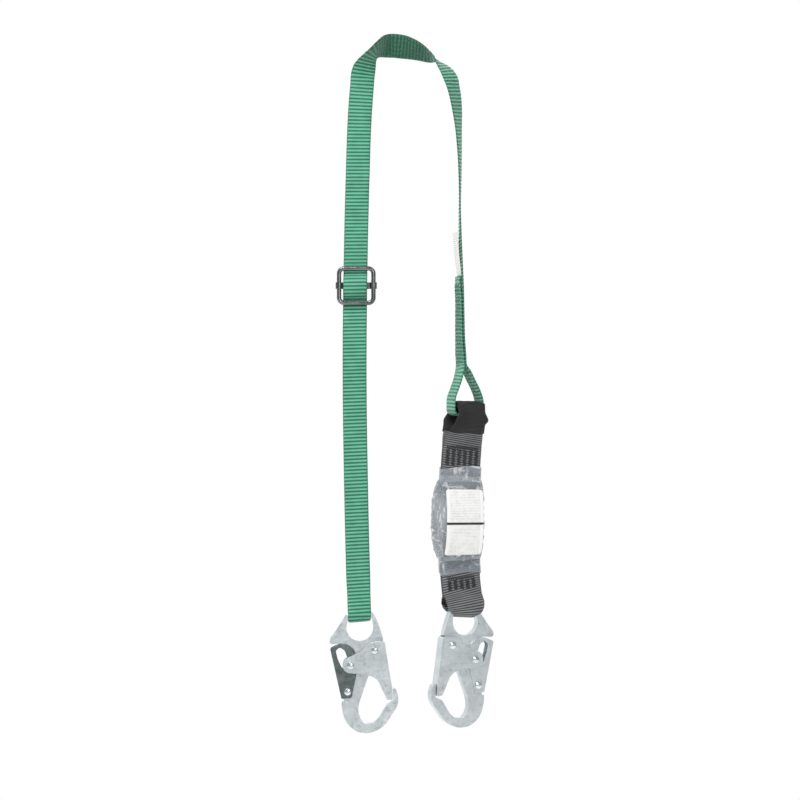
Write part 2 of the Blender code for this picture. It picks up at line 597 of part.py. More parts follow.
def build_hook(side, eye, placing):
    """One locking snap hook; its frame has u towards the gate, v up and w towards its front."""
    base = bpy.data.objects.new(f"{side}_hook_frame", None)
    PARTS.objects.link(base)
    base.matrix_world = Matrix.Translation(Vector(eye) * MM) @ placing
    body = plate(f"{side}_hook_body", body_outline(), BODY_T, ZINC, base, [eye_window()])
    soften_bowl(body)
    for face in (-1, 1):
        label = "front" if face > 0 else "back"
        low, high = sorted((face * WEB_PLATE_T / 2, face * 9.0))
        flat = block(f"{side}_{label}_flat", (-45.0, -89.8, low), (24.0, -25.5, high), base)
        cut(body, flat)
    bar_room = block(f"{side}_bar_room", (-12.9, -6.6, -9.0), (12.9, 9.0, 9.0), base)
    bar = cylinder(f"{side}_bar_core", 0.0, 0.0, EYE_BAR_R, -14.0, 14.0, base)
    bar.rotation_euler = (0.0, math.pi / 2, 0.0)
    cut(bar_room, bar)
    cut(body, bar_room)
    arm_room = block(f"{side}_arm_room", (-40.0, 0.0, -9.0), (40.0, 9.0, 9.0), base)
    arm = cylinder(f"{side}_arm_round", 0.0, 0.0, 5.2, -45.0, 45.0, base)
    arm.rotation_euler = (0.0, math.pi / 2, 0.0)
    cut(arm_room, arm)
    cut(body, arm_room)
    for label, pivot in (("gate", GATE_PIVOT), ("lock", LOCK_PIVOT)):
        cut(body, cylinder(f"{side}_{label}_hole", *pivot, HOLE_R, -12.0, 12.0, base))
    cut(body, cylinder(f"{side}_gate_spring_seat", *GATE_PIVOT, 6.2, 1.0, 12.0, base))
    cut(body, cylinder(f"{side}_lock_spring_seat", *LOCK_PIVOT, 4.1, -12.0, -1.0, base))
    cut(body, block(f"{side}_lock_spring_exit", (-30.0, -79.5, -12.0), (-19.7, -74.9, -1.0), base))

    gate = plate(f"{side}_gate", gate_outline(), 2 * (GATE_INNER + PLATE_T), ZINC, base,
                 [arc(GATE_PIVOT, HOLE_R, 0, 337.5, 15), arc(GATE_PIN, HOLE_R, 0, 337.5, 15)])
    hollow = plate(f"{side}_gate_hollow", gate_hollow(), 2 * GATE_INNER, None, base, collection=CUTTERS)
    cut(gate, hollow)
    at_origin(gate, (*GATE_PIVOT, 0.0))

    lock = plate(f"{side}_lock_lever", lock_outline(), 2 * (LOCK_INNER + PLATE_T), DARK_ZINC, base,
                 [lock_window(), arc(LOCK_PIVOT, HOLE_R, 0, 337.5, 15)])
    hollow = plate(f"{side}_lock_hollow", lock_hollow(), 2 * LOCK_INNER, None, base, collection=CUTTERS)
    cut(lock, hollow)
    at_origin(lock, (*LOCK_PIVOT, 0.0))

    rivet(f"{side}_gate_rivet", GATE_PIVOT, GATE_INNER + PLATE_T + GAP, base)
    rivet(f"{side}_gate_pin", GATE_PIN, GATE_INNER + PLATE_T + GAP, base)
    rivet(f"{side}_lock_rivet", LOCK_PIVOT, LOCK_INNER + PLATE_T + GAP, base)
    coil_spring(f"{side}_gate_spring", GATE_PIVOT, 4.3, 0.6, 1.95, 5.1, 2.0, 0.0, base)
    coil_spring(f"{side}_lock_spring", LOCK_PIVOT, 3.4, 0.4, -3.75, -1.6, 1.75, 180.0, base, 5.6)
    return base


FACE_FRONT = Matrix.Rotation(math.radians(90.0), 4, "X")
build_hook("left", LEFT_EYE, Matrix.Rotation(math.radians(-LEFT_TILT), 4, "Y") @ FACE_FRONT)
build_hook("right", RIGHT_EYE, Matrix.Rotation(math.radians(180.0 + PACK_TURN), 4, "Z")
           @ Matrix.Rotation(math.radians(-RIGHT_TILT), 4, "Y") @ FACE_FRONT)


# --- energy absorber ------------------------------------------------------------------------------
PACK_LINE = ((-366, 64.0), (-384, 63.7), (-412, 60.8), (-440, 58.9), (-470, 57.8), (-505, 57.3), (-535, 57.7),
             (-560, 59.5), (-586.8, 62.3), (-596, 61.8))
PACK_ROWS = smooth([(x, 0.0, z, *ACROSS_PACK, PACK_HALF) for z, x in PACK_LINE], 1.5)


def pack_row(depth, z, half=PACK_HALF, tilt=0.0):
    """A row of the absorber's leg: depth is towards its front."""
    x = float(np.interp(-z, -PACK_ROWS[:, 2], PACK_ROWS[:, 0]))
    place = np.array((x, 0.0, z)) + depth * FRONT_PACK
    across = ACROSS_PACK * math.cos(math.radians(tilt)) - UP * math.sin(math.radians(tilt))
    return (*place, *across, half)


def top_loop_rows():
    """Up the front layer, round the loop that the strap passes through, and down the back layer.

    The webbing is bunched narrow where it passes inside the strap's loop.
    """
    front = [(1.25, -412, 22), (3.6, -405.5, 22), (9.5, -397.5, 22), (15.4, -391, 21.2)]
    ring = []
    for angle in (90, 80, 71, 60, 45, 30, 15, 0):
        half = 11.9 if angle <= 71 else 11.9 + 7.1 * (angle - 71) / 19
        ring.append((LINK_N * math.sin(math.radians(angle)), LINK[2] + LINK_H * math.cos(math.radians(angle)), half))
    upper = front + ring
    return upper + [(-depth, z, half) for depth, z, half in reversed(upper[:-1])]


ring_rows = [pack_row(*row) for row in top_loop_rows()]
front_legs = [pack_row(1.25, z) for z in (-445, -437, -429, -421)]
back_legs = [pack_row(-1.25, z) for z in (-421, -429, -437, -445)]
strip("absorber_top_loop", smooth(front_legs + ring_rows + back_legs), WEB_T, GREY)
sleeved = [pack_row(9.0, -398.0)] + ring_rows[3:-3] + [pack_row(-9.0, -398.0)]
strip_tube("wear_sleeve", smooth(sleeved), WEB_T, GAP + 0.2, 0.9, BLACK)


def bottom_loop_rows(inset):
    """Round the right hook's eye bar, this far inside the webbing's own line.

    The webbing is bunched narrow between the eye's arms, which leaves the hook free to swing.
    """
    radius = EYE_BAR_R + 0.75 + LINER_T + GAP + WEB_T / 2 - inset
    middle = RIGHT_EYE[2]
    legs = [(4.3 - 1.2 * inset, -574.6, 22.0), (7.8 - 1.15 * inset, -581.4, 21.0), (7.95 - inset, -585.5, 12.6)]
    bend = [(depth, z, 12.4) for depth, z in arc((0.0, middle), radius, 0, -180, 12)]
    rows = legs + bend + [(-depth, z, half) for depth, z, half in reversed(legs)]
    return [pack_row(*row, tilt=RIGHT_TILT * np.clip((-row[1] - 570.0) / 15.0, 0.0, 1.0)) for row in rows]


web_ends = [pack_row(1.25, z) for z in (-535, -542, -549, -556, -564)] + [pack_row(2.2, -571.5)]
far_ends = [pack_row(-2.2, -571.5)] + [pack_row(-1.25, z) for z in (-564, -556, -549, -542, -535)]
strip("absorber_bottom_loop", smooth(web_ends + bottom_loop_rows(0.0) + far_ends), WEB_T, GREY)
liner_rows = bottom_loop_rows(WEB_T / 2 + GAP + LINER_T / 2)
strip("lower_wear_liner", smooth(liner_rows), LINER_T, BLACK)


def bulge(z, half_length):
    """How far the folded stack swells at a height, from 0 at its ends to 1 at its middle."""
    return max(0.0, 1.0 - abs((z - STACK_MIDDLE) / half_length) ** 2.4) ** 0.62


def pack_section(z, front, back, half, corner):
    """A rounded rectangle across the pack at a height."""
    outline = rounded([(-half, front, corner), (half, front, corner), (half, -back, corner), (-half, -back, corner)],
                      45.0)
    centre = np.array(pack_row(0.0, z)[:3])
    return np.array([centre + a * ACROSS_PACK + d * FRONT_PACK for a, d in outline])


def stack_heights(top, bottom, half_length, steps):
    """Heights of the sections, closest together where the stack swells fastest."""
    swell = [STACK_MIDDLE + half_length * math.cos(math.pi * k / steps) for k in range(steps + 1)]
    return [top, (top + swell[0]) / 2, *swell, (swell[-1] + bottom) / 2, bottom]


def stack_sections(top, bottom, half_length, extra, half, corner):
    return [pack_section(z, 2.3 + extra + STACK_FRONT * bulge(z, half_length),
                         2.3 + extra + STACK_BACK * bulge(z, half_length), half, corner)
            for z in stack_heights(top, bottom, half_length, 12)]


add("tear_webbing", mesh_of(*loft(stack_sections(-446.8, -533.2, STACK_HALF, 0.0, 21.6, 1.0))), GREY)
cover = add("shrink_cover", mesh_of(*loft(stack_sections(-436.0, -549.0, STACK_HALF + 1.9, 0.55, 22.7, 1.4),
                                          closed_ends=False)), FILM)
film = cover.modifiers.new("film", "SOLIDIFY")
film.thickness = FILM_T * MM
film.offset = 1.0
film.use_even_offset = False


def label_rows(top, bottom):
    """A label lying on the cover's front, following its swell."""
    rows = []
    for z in np.linspace(top, bottom, 8):
        depth = 2.85 + STACK_FRONT * bulge(z, STACK_HALF + 1.9) + FILM_T + GAP + 0.25
        rows.append(pack_row(depth, z, 20.8))
    return np.array(rows)


strip("label_upper", label_rows(-459.0, -495.3), 0.4, WHITE)
strip("label_lower", label_rows(-496.9, -528.5), 0.4, WHITE)

stitch_height = 1.25 + WEB_T / 2 + GAP + 0.45
top_rows = np.array([pack_row(stitch_height, z) for z in (-412.5, -423, -434)])
zigzag("top_stitching", top_rows, 0.0, 17.0, 7, BLACK_THREAD, 0.45)
bottom_rows = np.array([pack_row(stitch_height, z) for z in (-551.5, -558, -566)])
zigzag("bottom_stitching", bottom_rows, 0.0, 16.0, 6, BLACK_THREAD, 0.45)
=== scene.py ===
"""Shock absorbing lanyard: the finished webbing, sewing, labels, clear cover and snap hooks.

Every new piece is a surface worked out on a grid in millimetres: a flat band carried along the route of
its webbing, short threads laid on a band, a round wire bent to a ring, or a wall that follows the
absorber's outline. Bands keep two attributes in metres, along and across, which their weave reads. Plates,
rivets, springs and the crossbar are their solids with the corners eased.
"""

import math

import bmesh
import bpy
import numpy as np
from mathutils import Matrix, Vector


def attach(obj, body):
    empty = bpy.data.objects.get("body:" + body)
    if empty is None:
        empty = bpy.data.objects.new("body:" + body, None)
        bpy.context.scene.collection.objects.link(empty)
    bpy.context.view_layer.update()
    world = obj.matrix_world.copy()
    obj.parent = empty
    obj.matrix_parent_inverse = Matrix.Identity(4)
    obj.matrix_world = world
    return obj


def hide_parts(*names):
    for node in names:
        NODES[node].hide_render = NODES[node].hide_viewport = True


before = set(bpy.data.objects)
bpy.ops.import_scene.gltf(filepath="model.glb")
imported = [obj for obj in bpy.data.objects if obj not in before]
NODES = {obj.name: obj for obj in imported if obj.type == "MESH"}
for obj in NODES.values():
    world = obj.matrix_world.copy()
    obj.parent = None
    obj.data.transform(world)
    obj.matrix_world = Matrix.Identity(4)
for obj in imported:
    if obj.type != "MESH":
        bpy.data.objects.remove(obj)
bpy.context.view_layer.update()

MM = 0.001
STRAP_HALF, STRAP_T = 12.7, 1.5         # strap webbing between its ribs
STRAP_RIB, STRAP_PITCH = 0.90, 3.8      # how far its ribs stand out in all, and their spacing
PACK_HALF, PACK_T = 22.0, 1.6
PACK_RIB, PACK_PITCH = 0.60, 2.5
# CROWN_SPAN is where the strap's green colour is darkened with painted shade
CROWN_SPAN = (1061.3, 1147.1)           # stretch of the strap over the crown, along it
LAYER = 2.45                            # pitch of webbing layers that lie on each other

ADJUSTER_Z, ADJUSTER_FRAME_Y, FRAME_X = -242.6, -3.8, -51.8
FRAME_HALF_WIDTH, FRAME_HALF_HEIGHT, FRAME_CORNER, FRAME_WIRE = 18.3, 18.4, 5.6, 2.4
CROSSBAR_Y, CROSSBAR_HALF_HEIGHT = -1.2, 3.5
LEFT_EYE, LEFT_TILT = np.array((-48.3, 0.0, -593.0)), 5.0
RIGHT_EYE, RIGHT_TILT, PACK_TURN = np.array((62.3, 0.0, -586.8)), 3.5, 20.0
LINK = np.array((63.7, 0.0, -384.3))
LINK_N, LINK_H = 18.8, 16.7
STACK_MIDDLE, STACK_HALF, STACK_FRONT, STACK_BACK = -491.0, 40.0, 15.5, 24.0

UP = np.array((0.0, 0.0, 1.0))
ACROSS_PACK = np.array((math.cos(math.radians(PACK_TURN)), math.sin(math.radians(PACK_TURN)), 0.0))
FRONT_PACK = np.array((math.sin(math.radians(PACK_TURN)), -math.cos(math.radians(PACK_TURN)), 0.0))


# --- camera, light and floor ----------------------------------------------------------------------
CAMERA_PLACE = (-0.0053, -3.0, -0.3642)
LENS_LENGTH, SENSOR_WIDTH = 126.8, 36.0
MIDDLE_HEIGHT = -0.36                   # what the lamps aim at
FLOOR_REACH, FLOOR_LEVEL = 6.0, -1.9
PALE = (0.93, 0.93, 0.93, 1.0)
WHITE = (1.0, 1.0, 1.0, 1.0)


def studio():
    """A long lens level with the lanyard's middle, a wide soft room and a pale floor well below."""
    scene = bpy.context.scene
    scene.view_settings.view_transform = "Standard"
    lens = bpy.data.cameras.new("camera")
    lens.lens = LENS_LENGTH
    lens.sensor_width = SENSOR_WIDTH
    camera = bpy.data.objects.new("camera", lens)
    camera.location = CAMERA_PLACE
    camera.rotation_euler = (math.radians(90.0), 0.0, 0.0)
    scene.collection.objects.link(camera)
    scene.camera = camera

    world = bpy.data.worlds.new("room")
    world.use_nodes = True
    tree = world.node_tree
    way = tree.nodes.new("ShaderNodeTexCoord")
    split = tree.nodes.new("ShaderNodeSeparateXYZ")
    ramp = tree.nodes.new("ShaderNodeValToRGB")
    tree.links.new(way.outputs["Generated"], split.inputs[0])
    tree.links.new(split.outputs["Y"], ramp.inputs[0])
    for stop, (place, value) in zip(ramp.color_ramp.elements, ((0.15, 0.42), (0.75, 1.0))):
        stop.position = place
        stop.color = (value, value, value, 1.0)
    tree.links.new(ramp.outputs[0], tree.nodes["Background"].inputs["Color"])
    scene.world = world

    for name, place, size, power in (("key", (-0.9, -1.5, 1.9), 1.3, 62.0),
                                     ("front", (0.9, -3.4, 0.5), 1.2, 24.0),
                                     ("rim", (0.8, 2.2, 1.2), 1.4, 14.0)):
        light = bpy.data.lights.new(name, "AREA")
        light.size = size
        light.energy = power
        lamp = bpy.data.objects.new(name, light)
        lamp.location = place
        aim = Vector((0.0, 0.0, MIDDLE_HEIGHT)) - lamp.location
        lamp.rotation_euler = aim.to_track_quat("-Z", "Y").to_euler()
        scene.collection.objects.link(lamp)

    floor_mesh = bpy.data.meshes.new("floor")
    signs = ((-1, -1), (1, -1), (1, 1), (-1, 1))
    corners = [(x * FLOOR_REACH, y * FLOOR_REACH, FLOOR_LEVEL) for x, y in signs]
    floor_mesh.from_pydata(corners, [], [(0, 1, 2, 3)])
    floor = bpy.data.objects.new("floor", floor_mesh)
    scene.collection.objects.link(floor)
    pale = bpy.data.materials.new("pale_floor")
    pale.use_nodes = True
    sockets = pale.node_tree.nodes["Principled BSDF"].inputs
    for socket, value in (("Base Color", PALE), ("Roughness", 0.9), ("Emission Color", WHITE),
                          ("Emission Strength", 0.35)):
        sockets[socket].default_value = value
    floor_mesh.materials.append(pale)


studio()


# --- material tools -------------------------------------------------------------------------------
class Finish:
    """A Principled material with short calls for its nodes; numbers go straight onto sockets."""

    def __init__(self, name, **sockets):
        self.material = bpy.data.materials.new(name)
        self.material.use_nodes = True
        self.tree = self.material.node_tree
        self.shader = self.tree.nodes["Principled BSDF"]
        for socket, value in sockets.items():
            self.put(self.shader.inputs[socket.replace("_", " ")], value)

    def put(self, socket, value):
        if isinstance(value, bpy.types.NodeSocket):
            self.tree.links.new(value, socket)
        elif isinstance(value, tuple) and len(value) == 3 and socket.type == "RGBA":
            socket.default_value = (*value, 1.0)
        else:
            socket.default_value = value

    def node(self, kind, inputs=(), **settings):
        made = self.tree.nodes.new("ShaderNode" + kind)
        for setting, value in settings.items():
            setattr(made, setting, value)
        for place, value in dict(inputs).items():
            self.put(made.inputs[place], value)
        return made

    def sum(self, operation, *values):
        return self.node("Math", dict(enumerate(values)), operation=operation).outputs[0]

    def read(self, attribute):
        return self.node("Attribute", attribute_name=attribute).outputs["Fac"]

    def noise(self, scale, detail=3.0, roughness=0.55, stretch=None):
        place = self.node("TexCoord").outputs["Object"]
        if stretch is not None:
            place = self.node("Mapping", {"Vector": place, "Scale": stretch}).outputs[0]
        settings = {"Vector": place, "Scale": scale, "Detail": detail, "Roughness": roughness}
        return self.node("TexNoise", settings).outputs["Fac"]

    def wave(self, value, period):
        """A sine between 0 and 1 of a length in metres."""
        turn = self.sum("SINE", self.sum("MULTIPLY", value, 2 * math.pi / period))
        return self.sum("MULTIPLY_ADD", turn, 0.5, 0.5)

    def between(self, low, high, value):
        """The value's place between two limits, held to 0 and 1."""
        return self.node("MapRange", {"Value": value, "From Min": low, "From Max": high}).outputs[0]

    def blend(self, amount, first, second):
        mix = self.node("Mix", data_type="RGBA")
        self.put(mix.inputs[0], amount)
        self.put(mix.inputs[6], first)
        self.put(mix.inputs[7], second)
        return mix.outputs[2]

    def bump(self, height, distance, strength=1.0):
        made = self.node("Bump", {"Height": height, "Distance": distance, "Strength": strength})
        self.put(self.shader.inputs["Normal"], made.outputs[0])

    def colour(self, value):
        self.put(self.shader.inputs["Base Color"], value)

    def set(self, socket, value):
        self.put(self.shader.inputs[socket], value)


def woven(name, groove, crest, pitch, slant, half, yarn=0.95, sheen=0.25, deep=None):
    """Ribbed webbing: a rib every pitch along it, each of fine slanting yarns, with painted shade in the
    grooves and a painted highlight on the crests.

    Its selvedges are a plain darker weave. Its last argument is a stretch of it, in mm along, whose colour is
    darkened as painted shade.
    """
    made = Finish(name, Roughness=0.62, Sheen_Weight=sheen, Sheen_Roughness=0.45)
    along, across = made.read("along"), made.read("across")
    # ridge mixes painted shade into the grooves and a painted highlight onto the crests; yarns, patches and
    # fuzz are the weave's own tone
    ridge = made.wave(made.sum("MULTIPLY_ADD", across, slant, along), pitch * MM)
    yarns = made.wave(made.sum("MULTIPLY_ADD", along, 0.7, across), yarn * MM)
    thread = made.wave(made.sum("MULTIPLY_ADD", along, -1.6, across), 0.37 * MM)
    patches = made.noise(70.0, 4.0)
    fuzz = made.noise(2600.0, 2.0)
    tone = made.sum("ADD", made.sum("MULTIPLY", ridge, 0.62), made.sum("MULTIPLY", yarns, 0.20))
    tone = made.sum("ADD", tone, made.sum("MULTIPLY", patches, 0.30))
    tone = made.sum("ADD", tone, made.sum("MULTIPLY", fuzz, 0.14))
    ribs = made.blend(made.between(0.38, 1.02, tone), groove, crest)
    selvedge = made.between((half - 1.3) * MM, (half - 0.2) * MM, made.sum("ABSOLUTE", across))
    depth = made.sum("MULTIPLY", selvedge, 0.62)
    # painted shade: the colour darkens over the given stretch along the strap, on top of the darker selvedges
    if deep is not None:
        start = made.between((deep[0] - 14) * MM, (deep[0] + 14) * MM, along)
        stop = made.between((deep[1] + 12) * MM, (deep[1] - 12) * MM, along)
        depth = made.sum("MAXIMUM", depth, made.sum("MULTIPLY", made.sum("MULTIPLY", start, stop), 0.80))
    made.colour(made.blend(depth, ribs, tuple(0.55 * part for part in groove)))
    made.set("Roughness", made.sum("MULTIPLY_ADD", patches, 0.2, 0.55))
    height = made.sum("ADD", made.sum("MULTIPLY", yarns, 0.6), made.sum("MULTIPLY", thread, 0.3))
    made.bump(made.sum("ADD", height, made.sum("MULTIPLY", fuzz, 0.25)), 0.00022, 0.8)
    return made.material


def thread_finish(name, dark, light):
    """Twisted sewing thread."""
    made = Finish(name, Roughness=0.55, Sheen_Weight=0.2)
    twist = made.wave(made.read("along"), 0.5 * MM)
    made.colour(made.blend(made.sum("MULTIPLY_ADD", twist, 0.6, made.sum("MULTIPLY", made.noise(900.0), 0.5)),
                           dark, light))
    made.bump(twist, 0.0001, 0.7)
    return made.material


def plain_cloth(name, dark, light, pitch=0.55, roughness=0.8, sheen=0.15):
    """Closely woven cloth: two crossing sets of fine yarns over soft patches of tone."""
    made = Finish(name, Roughness=roughness, Sheen_Weight=sheen, Sheen_Roughness=0.5)
    along, across = made.read("along"), made.read("across")
    weave = made.sum("MULTIPLY", made.wave(along, pitch * MM), made.wave(across, pitch * MM))
    patches = made.noise(60.0, 5.0)
    amount = made.sum("ADD", made.sum("MULTIPLY", weave, 0.35), made.between(0.3, 0.75, patches))
    made.colour(made.blend(made.sum("MULTIPLY", amount, 0.7), dark, light))
    made.bump(made.sum("ADD", made.sum("MULTIPLY", weave, 0.5), patches), 0.0003, 0.6)
    return made.material


def plated(name, dark, light, roughness, metallic=0.85, grain=1.0):
    """Satin plated steel: fine pickled grain, soft stains, and duller and brighter patches."""
    made = Finish(name, Metallic=metallic, IOR=1.6)
    stains = made.noise(55.0, 5.0, 0.6)
    grains = made.noise(1500.0, 3.0, 0.7)
    worn = made.noise(260.0, 4.0, 0.65)
    tone = made.sum("ADD", made.sum("MULTIPLY", stains, 0.7), made.sum("MULTIPLY", worn, 0.3))
    made.colour(made.blend(made.between(0.33, 0.66, tone), dark, light))
    rough = made.sum("MULTIPLY_ADD", made.between(0.3, 0.7, worn), 0.16, roughness - 0.08)
    made.set("Roughness", rough)
    height = made.sum("ADD", made.sum("MULTIPLY", grains, 0.45), made.sum("MULTIPLY", worn, 0.55))
    made.bump(height, 0.00006 * grain, 0.5)
    return made.material


LABEL_PRINT_HALF = 17.2                 # half the width that the rows of dashes cover


def label_finish(name, line_pitch, dark_from=None):
    """Matt white label with faint rows of broken grey dashes, and a black band past dark_from if asked."""
    made = Finish(name, Roughness=0.42, Coat_Weight=0.25, Coat_Roughness=0.2)
    along, across = made.read("along"), made.read("across")
    row = made.between(0.40, 0.62, made.wave(along, line_pitch * MM))
    number = made.sum("FLOOR", made.sum("DIVIDE", along, line_pitch * MM))
    step = made.node("CombineXYZ", {"X": made.sum("MULTIPLY", across, 900.0), "Y": number}).outputs[0]
    dashes = made.node("TexNoise", {"Vector": step, "Scale": 1.0, "Detail": 1.0}).outputs["Fac"]
    inside = made.sum("LESS_THAN", made.sum("ABSOLUTE", across), LABEL_PRINT_HALF * MM)
    patches = made.sum("MULTIPLY_ADD", made.between(0.40, 0.60, made.noise(150.0, 2.0)), 0.6, 0.4)
    ink = made.sum("MULTIPLY", made.sum("MULTIPLY", row, inside), made.between(0.42, 0.52, dashes))
    ink = made.sum("MULTIPLY", ink, patches)
    colour = made.blend(made.sum("MULTIPLY", ink, 0.55), (0.86, 0.86, 0.84), (0.22, 0.23, 0.24))
    if dark_from is not None:
        colour = made.blend(made.sum("GREATER_THAN", along, dark_from * MM), colour, (0.012, 0.012, 0.012))
    made.colour(colour)
    made.bump(made.noise(420.0, 3.0), 0.00015, 0.4)
    return made.material


def film_finish():
    """Clear shrink film: thin, glossy and grey, milky in soft patches, with painted white highlights in
    streaks and glints.
    """
    made = Finish("clear_film", Roughness=0.24, IOR=1.49, Specular_IOR_Level=0.7, Coat_Weight=0.35,
                  Coat_Roughness=0.16)
    milk = made.between(0.30, 0.75, made.noise(16.0, 1.5, 0.4, (1.0, 1.0, 1.7)))
    # the streak and glint masks are painted highlights: where they rise the film turns white and less clear
    streak = made.between(0.56, 0.74, made.noise(62.0, 3.0, 0.5, (2.6, 2.6, 0.8)))
    glint = made.between(0.56, 0.72, made.noise(80.0, 3.0, 0.5, (0.8, 0.8, 2.4)))
    shine = made.sum("MAXIMUM", streak, made.sum("MULTIPLY", glint, 0.7))
    grey = made.blend(milk, (0.25, 0.29, 0.325), (0.50, 0.55, 0.59))
    made.colour(made.blend(shine, grey, (0.93, 0.95, 0.96)))
    cover_up = made.sum("ADD", made.sum("MULTIPLY_ADD", milk, 0.22, 0.34), made.sum("MULTIPLY", shine, 0.40))
    made.set("Alpha", cover_up)
    made.bump(made.noise(75.0, 3.0, 0.55, (1.0, 1.0, 0.8)), 0.0020, 0.9)
    return made.material


# Each webbing's two colours are its own green or grey pushed apart into painted groove shade and a painted
# crest highlight.
GREEN = woven("green_webbing", (0.006, 0.115, 0.060), (0.17, 0.60, 0.40), STRAP_PITCH, 0.03, STRAP_HALF,
              deep=CROWN_SPAN)
GREY = woven("grey_webbing", (0.020, 0.021, 0.023), (0.27, 0.275, 0.29), PACK_PITCH, 0.10, PACK_HALF, 0.8,
             0.12)
FOLDED = woven("folded_webbing", (0.02, 0.022, 0.024), (0.16, 0.165, 0.17), 2.5, 0.0, 60.0, 0.8, 0.1)
GREEN_THREAD = thread_finish("green_thread", (0.004, 0.040, 0.022), (0.03, 0.17, 0.10))
BLACK_THREAD = thread_finish("black_thread", (0.004, 0.004, 0.004), (0.03, 0.03, 0.032))
BLACK = plain_cloth("black_sleeve", (0.002, 0.002, 0.002), (0.016, 0.016, 0.017), sheen=0.05)
TAG = label_finish("tag_white", 2.2)
LABEL_UPPER = label_finish("label_white_upper", 1.7, 35.6)
LABEL_LOWER = label_finish("label_white_lower", 1.5)
FILM = film_finish()
ZINC = plated("zinc_plate", (0.54, 0.60, 0.62), (0.76, 0.82, 0.84), 0.33)
# a darker copy of the zinc plate that carries a painted dark reflection, for the left lock plate
DARK_ZINC = plated("dark_plate", (0.10, 0.12, 0.122), (0.24, 0.275, 0.275), 0.30)
BUCKLE = plated("buckle_plate", (0.09, 0.10, 0.10), (0.24, 0.26, 0.26), 0.20, 1.0, 0.5)
RIVET = plated("rivet_steel", (0.52, 0.56, 0.57), (0.80, 0.84, 0.85), 0.20, 1.0, 0.4)
SPRING = plated("spring_steel", (0.30, 0.30, 0.30), (0.55, 0.55, 0.55), 0.25, 1.0, 0.3)


# --- surface tools --------------------------------------------------------------------------------
def piece(name, mesh, finish, body, nodes=()):
    """A finished piece: shaded smooth but for sharp edges, riding its body and standing for its nodes."""
    made = bpy.data.objects.new(name, mesh)
    mesh.name = name
    bpy.context.scene.collection.objects.link(made)
    mesh.materials.append(finish)
    mesh.shade_smooth()
    mesh.set_sharp_from_angle(angle=math.radians(50.0))
    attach(made, body)
    if nodes:
        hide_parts(*nodes)
    return made


def steady_normals(mesh):
    """Normals weighted by the size of the faces round each point, so flats look flat beside eased corners."""
    corners = np.empty(len(mesh.loops), int)
    mesh.loops.foreach_get("vertex_index", corners)
    count = len(mesh.polygons)
    sizes, facing, totals = np.empty(count), np.empty(3 * count), np.empty(count, int)
    mesh.polygons.foreach_get("area", sizes)
    mesh.polygons.foreach_get("normal", facing)
    mesh.polygons.foreach_get("loop_total", totals)
    weighted = np.repeat(facing.reshape(-1, 3) * sizes[:, None], totals, axis=0)
    normals = np.zeros((len(mesh.vertices), 3))
    np.add.at(normals, corners, weighted)
    mesh.normals_split_custom_set_from_vertices(unit(normals + 1e-12).tolist())


def grid_faces(rows, columns, wrap):
    """Quads of a grid of rows by columns of points; wrap joins its last column to its first."""
    reach = columns if wrap else columns - 1
    i, k = np.meshgrid(np.arange(rows - 1), np.arange(reach), indexing="ij")
    n = (k + 1) % columns
    quads = [i * columns + k, i * columns + n, (i + 1) * columns + n, (i + 1) * columns + k]
    return np.stack(quads, axis=-1).reshape(-1, 4).tolist()


def faced_out(mesh, merge=False):
    """The same mesh with all its faces turned outwards, after its doubles are merged if asked."""
    work = bmesh.new()
    work.from_mesh(mesh)
    if merge:
        bmesh.ops.remove_doubles(work, verts=work.verts, dist=1e-6)
    bmesh.ops.recalc_face_normals(work, faces=work.faces)
    work.to_mesh(mesh)
    work.free()
    return mesh


def store_length(mesh, label, values):
    """Keeps a length in millimetres for each point of a mesh, as an attribute in metres."""
    store = mesh.attributes.new(label, "FLOAT", "POINT")
    store.data.foreach_set("value", (values * MM).ravel().astype(np.float32))


def grid_mesh(points, along=None, across=None, wrap=True, caps=True):
    """A mesh in metres of a grid of points in millimetres, with its lengths along and across stored."""
    rows, columns = points.shape[:2]
    faces = grid_faces(rows, columns, wrap)
    if wrap and caps:
        faces.append(list(range(columns))[::-1])
        faces.append([(rows - 1) * columns + k for k in range(columns)])
    mesh = bpy.data.meshes.new("surface")
    mesh.from_pydata((points.reshape(-1, 3) * MM).tolist(), [], faces)
    for label, values in (("along", along), ("across", across)):
        if values is not None:
            store_length(mesh, label, np.broadcast_to(values, (rows, columns)))
    return faced_out(mesh) if wrap and caps else mesh


def unit(rows):
    """Each row scaled to a length of 1."""
    return rows / np.linalg.norm(rows, axis=-1, keepdims=True)


def smooth(rows, steps=10):
    """A smooth curve through rows of (x, y, z, ...): cubics whose slopes come from the rows on both sides."""
    rows = np.asarray(rows, float)
    chord = rows[1:] - rows[:-1]
    length = np.linalg.norm(chord[:, :3], axis=1, keepdims=True)
    rate = chord / length
    slope = np.vstack([rate[:1], (rate[:-1] * length[1:] + rate[1:] * length[:-1])
                       / (length[:-1] + length[1:]), rate[-1:]])
    t = (np.arange(steps) / steps)[None, :, None]
    first, last = rows[:-1, None], rows[1:, None]
    curve = ((2 * t**3 - 3 * t**2 + 1) * first + (3 * t**2 - 2 * t**3) * last
             + ((t**3 - 2 * t**2 + t) * slope[:-1, None] + (t**3 - t**2) * slope[1:, None]) * length[:, None])
    return np.vstack([curve.reshape(-1, rows.shape[1]), rows[-1:]])


def lengths(rows):
    """Distance along a route at each of its rows."""
    return np.concatenate([[0.0], np.cumsum(np.linalg.norm(np.diff(rows[:, :3], axis=0), axis=1))])


def at_length(rows, distance):
    """Rows read at given distances along a route."""
    along = lengths(rows)
    return np.stack([np.interp(distance, along, column) for column in rows.T], axis=1)


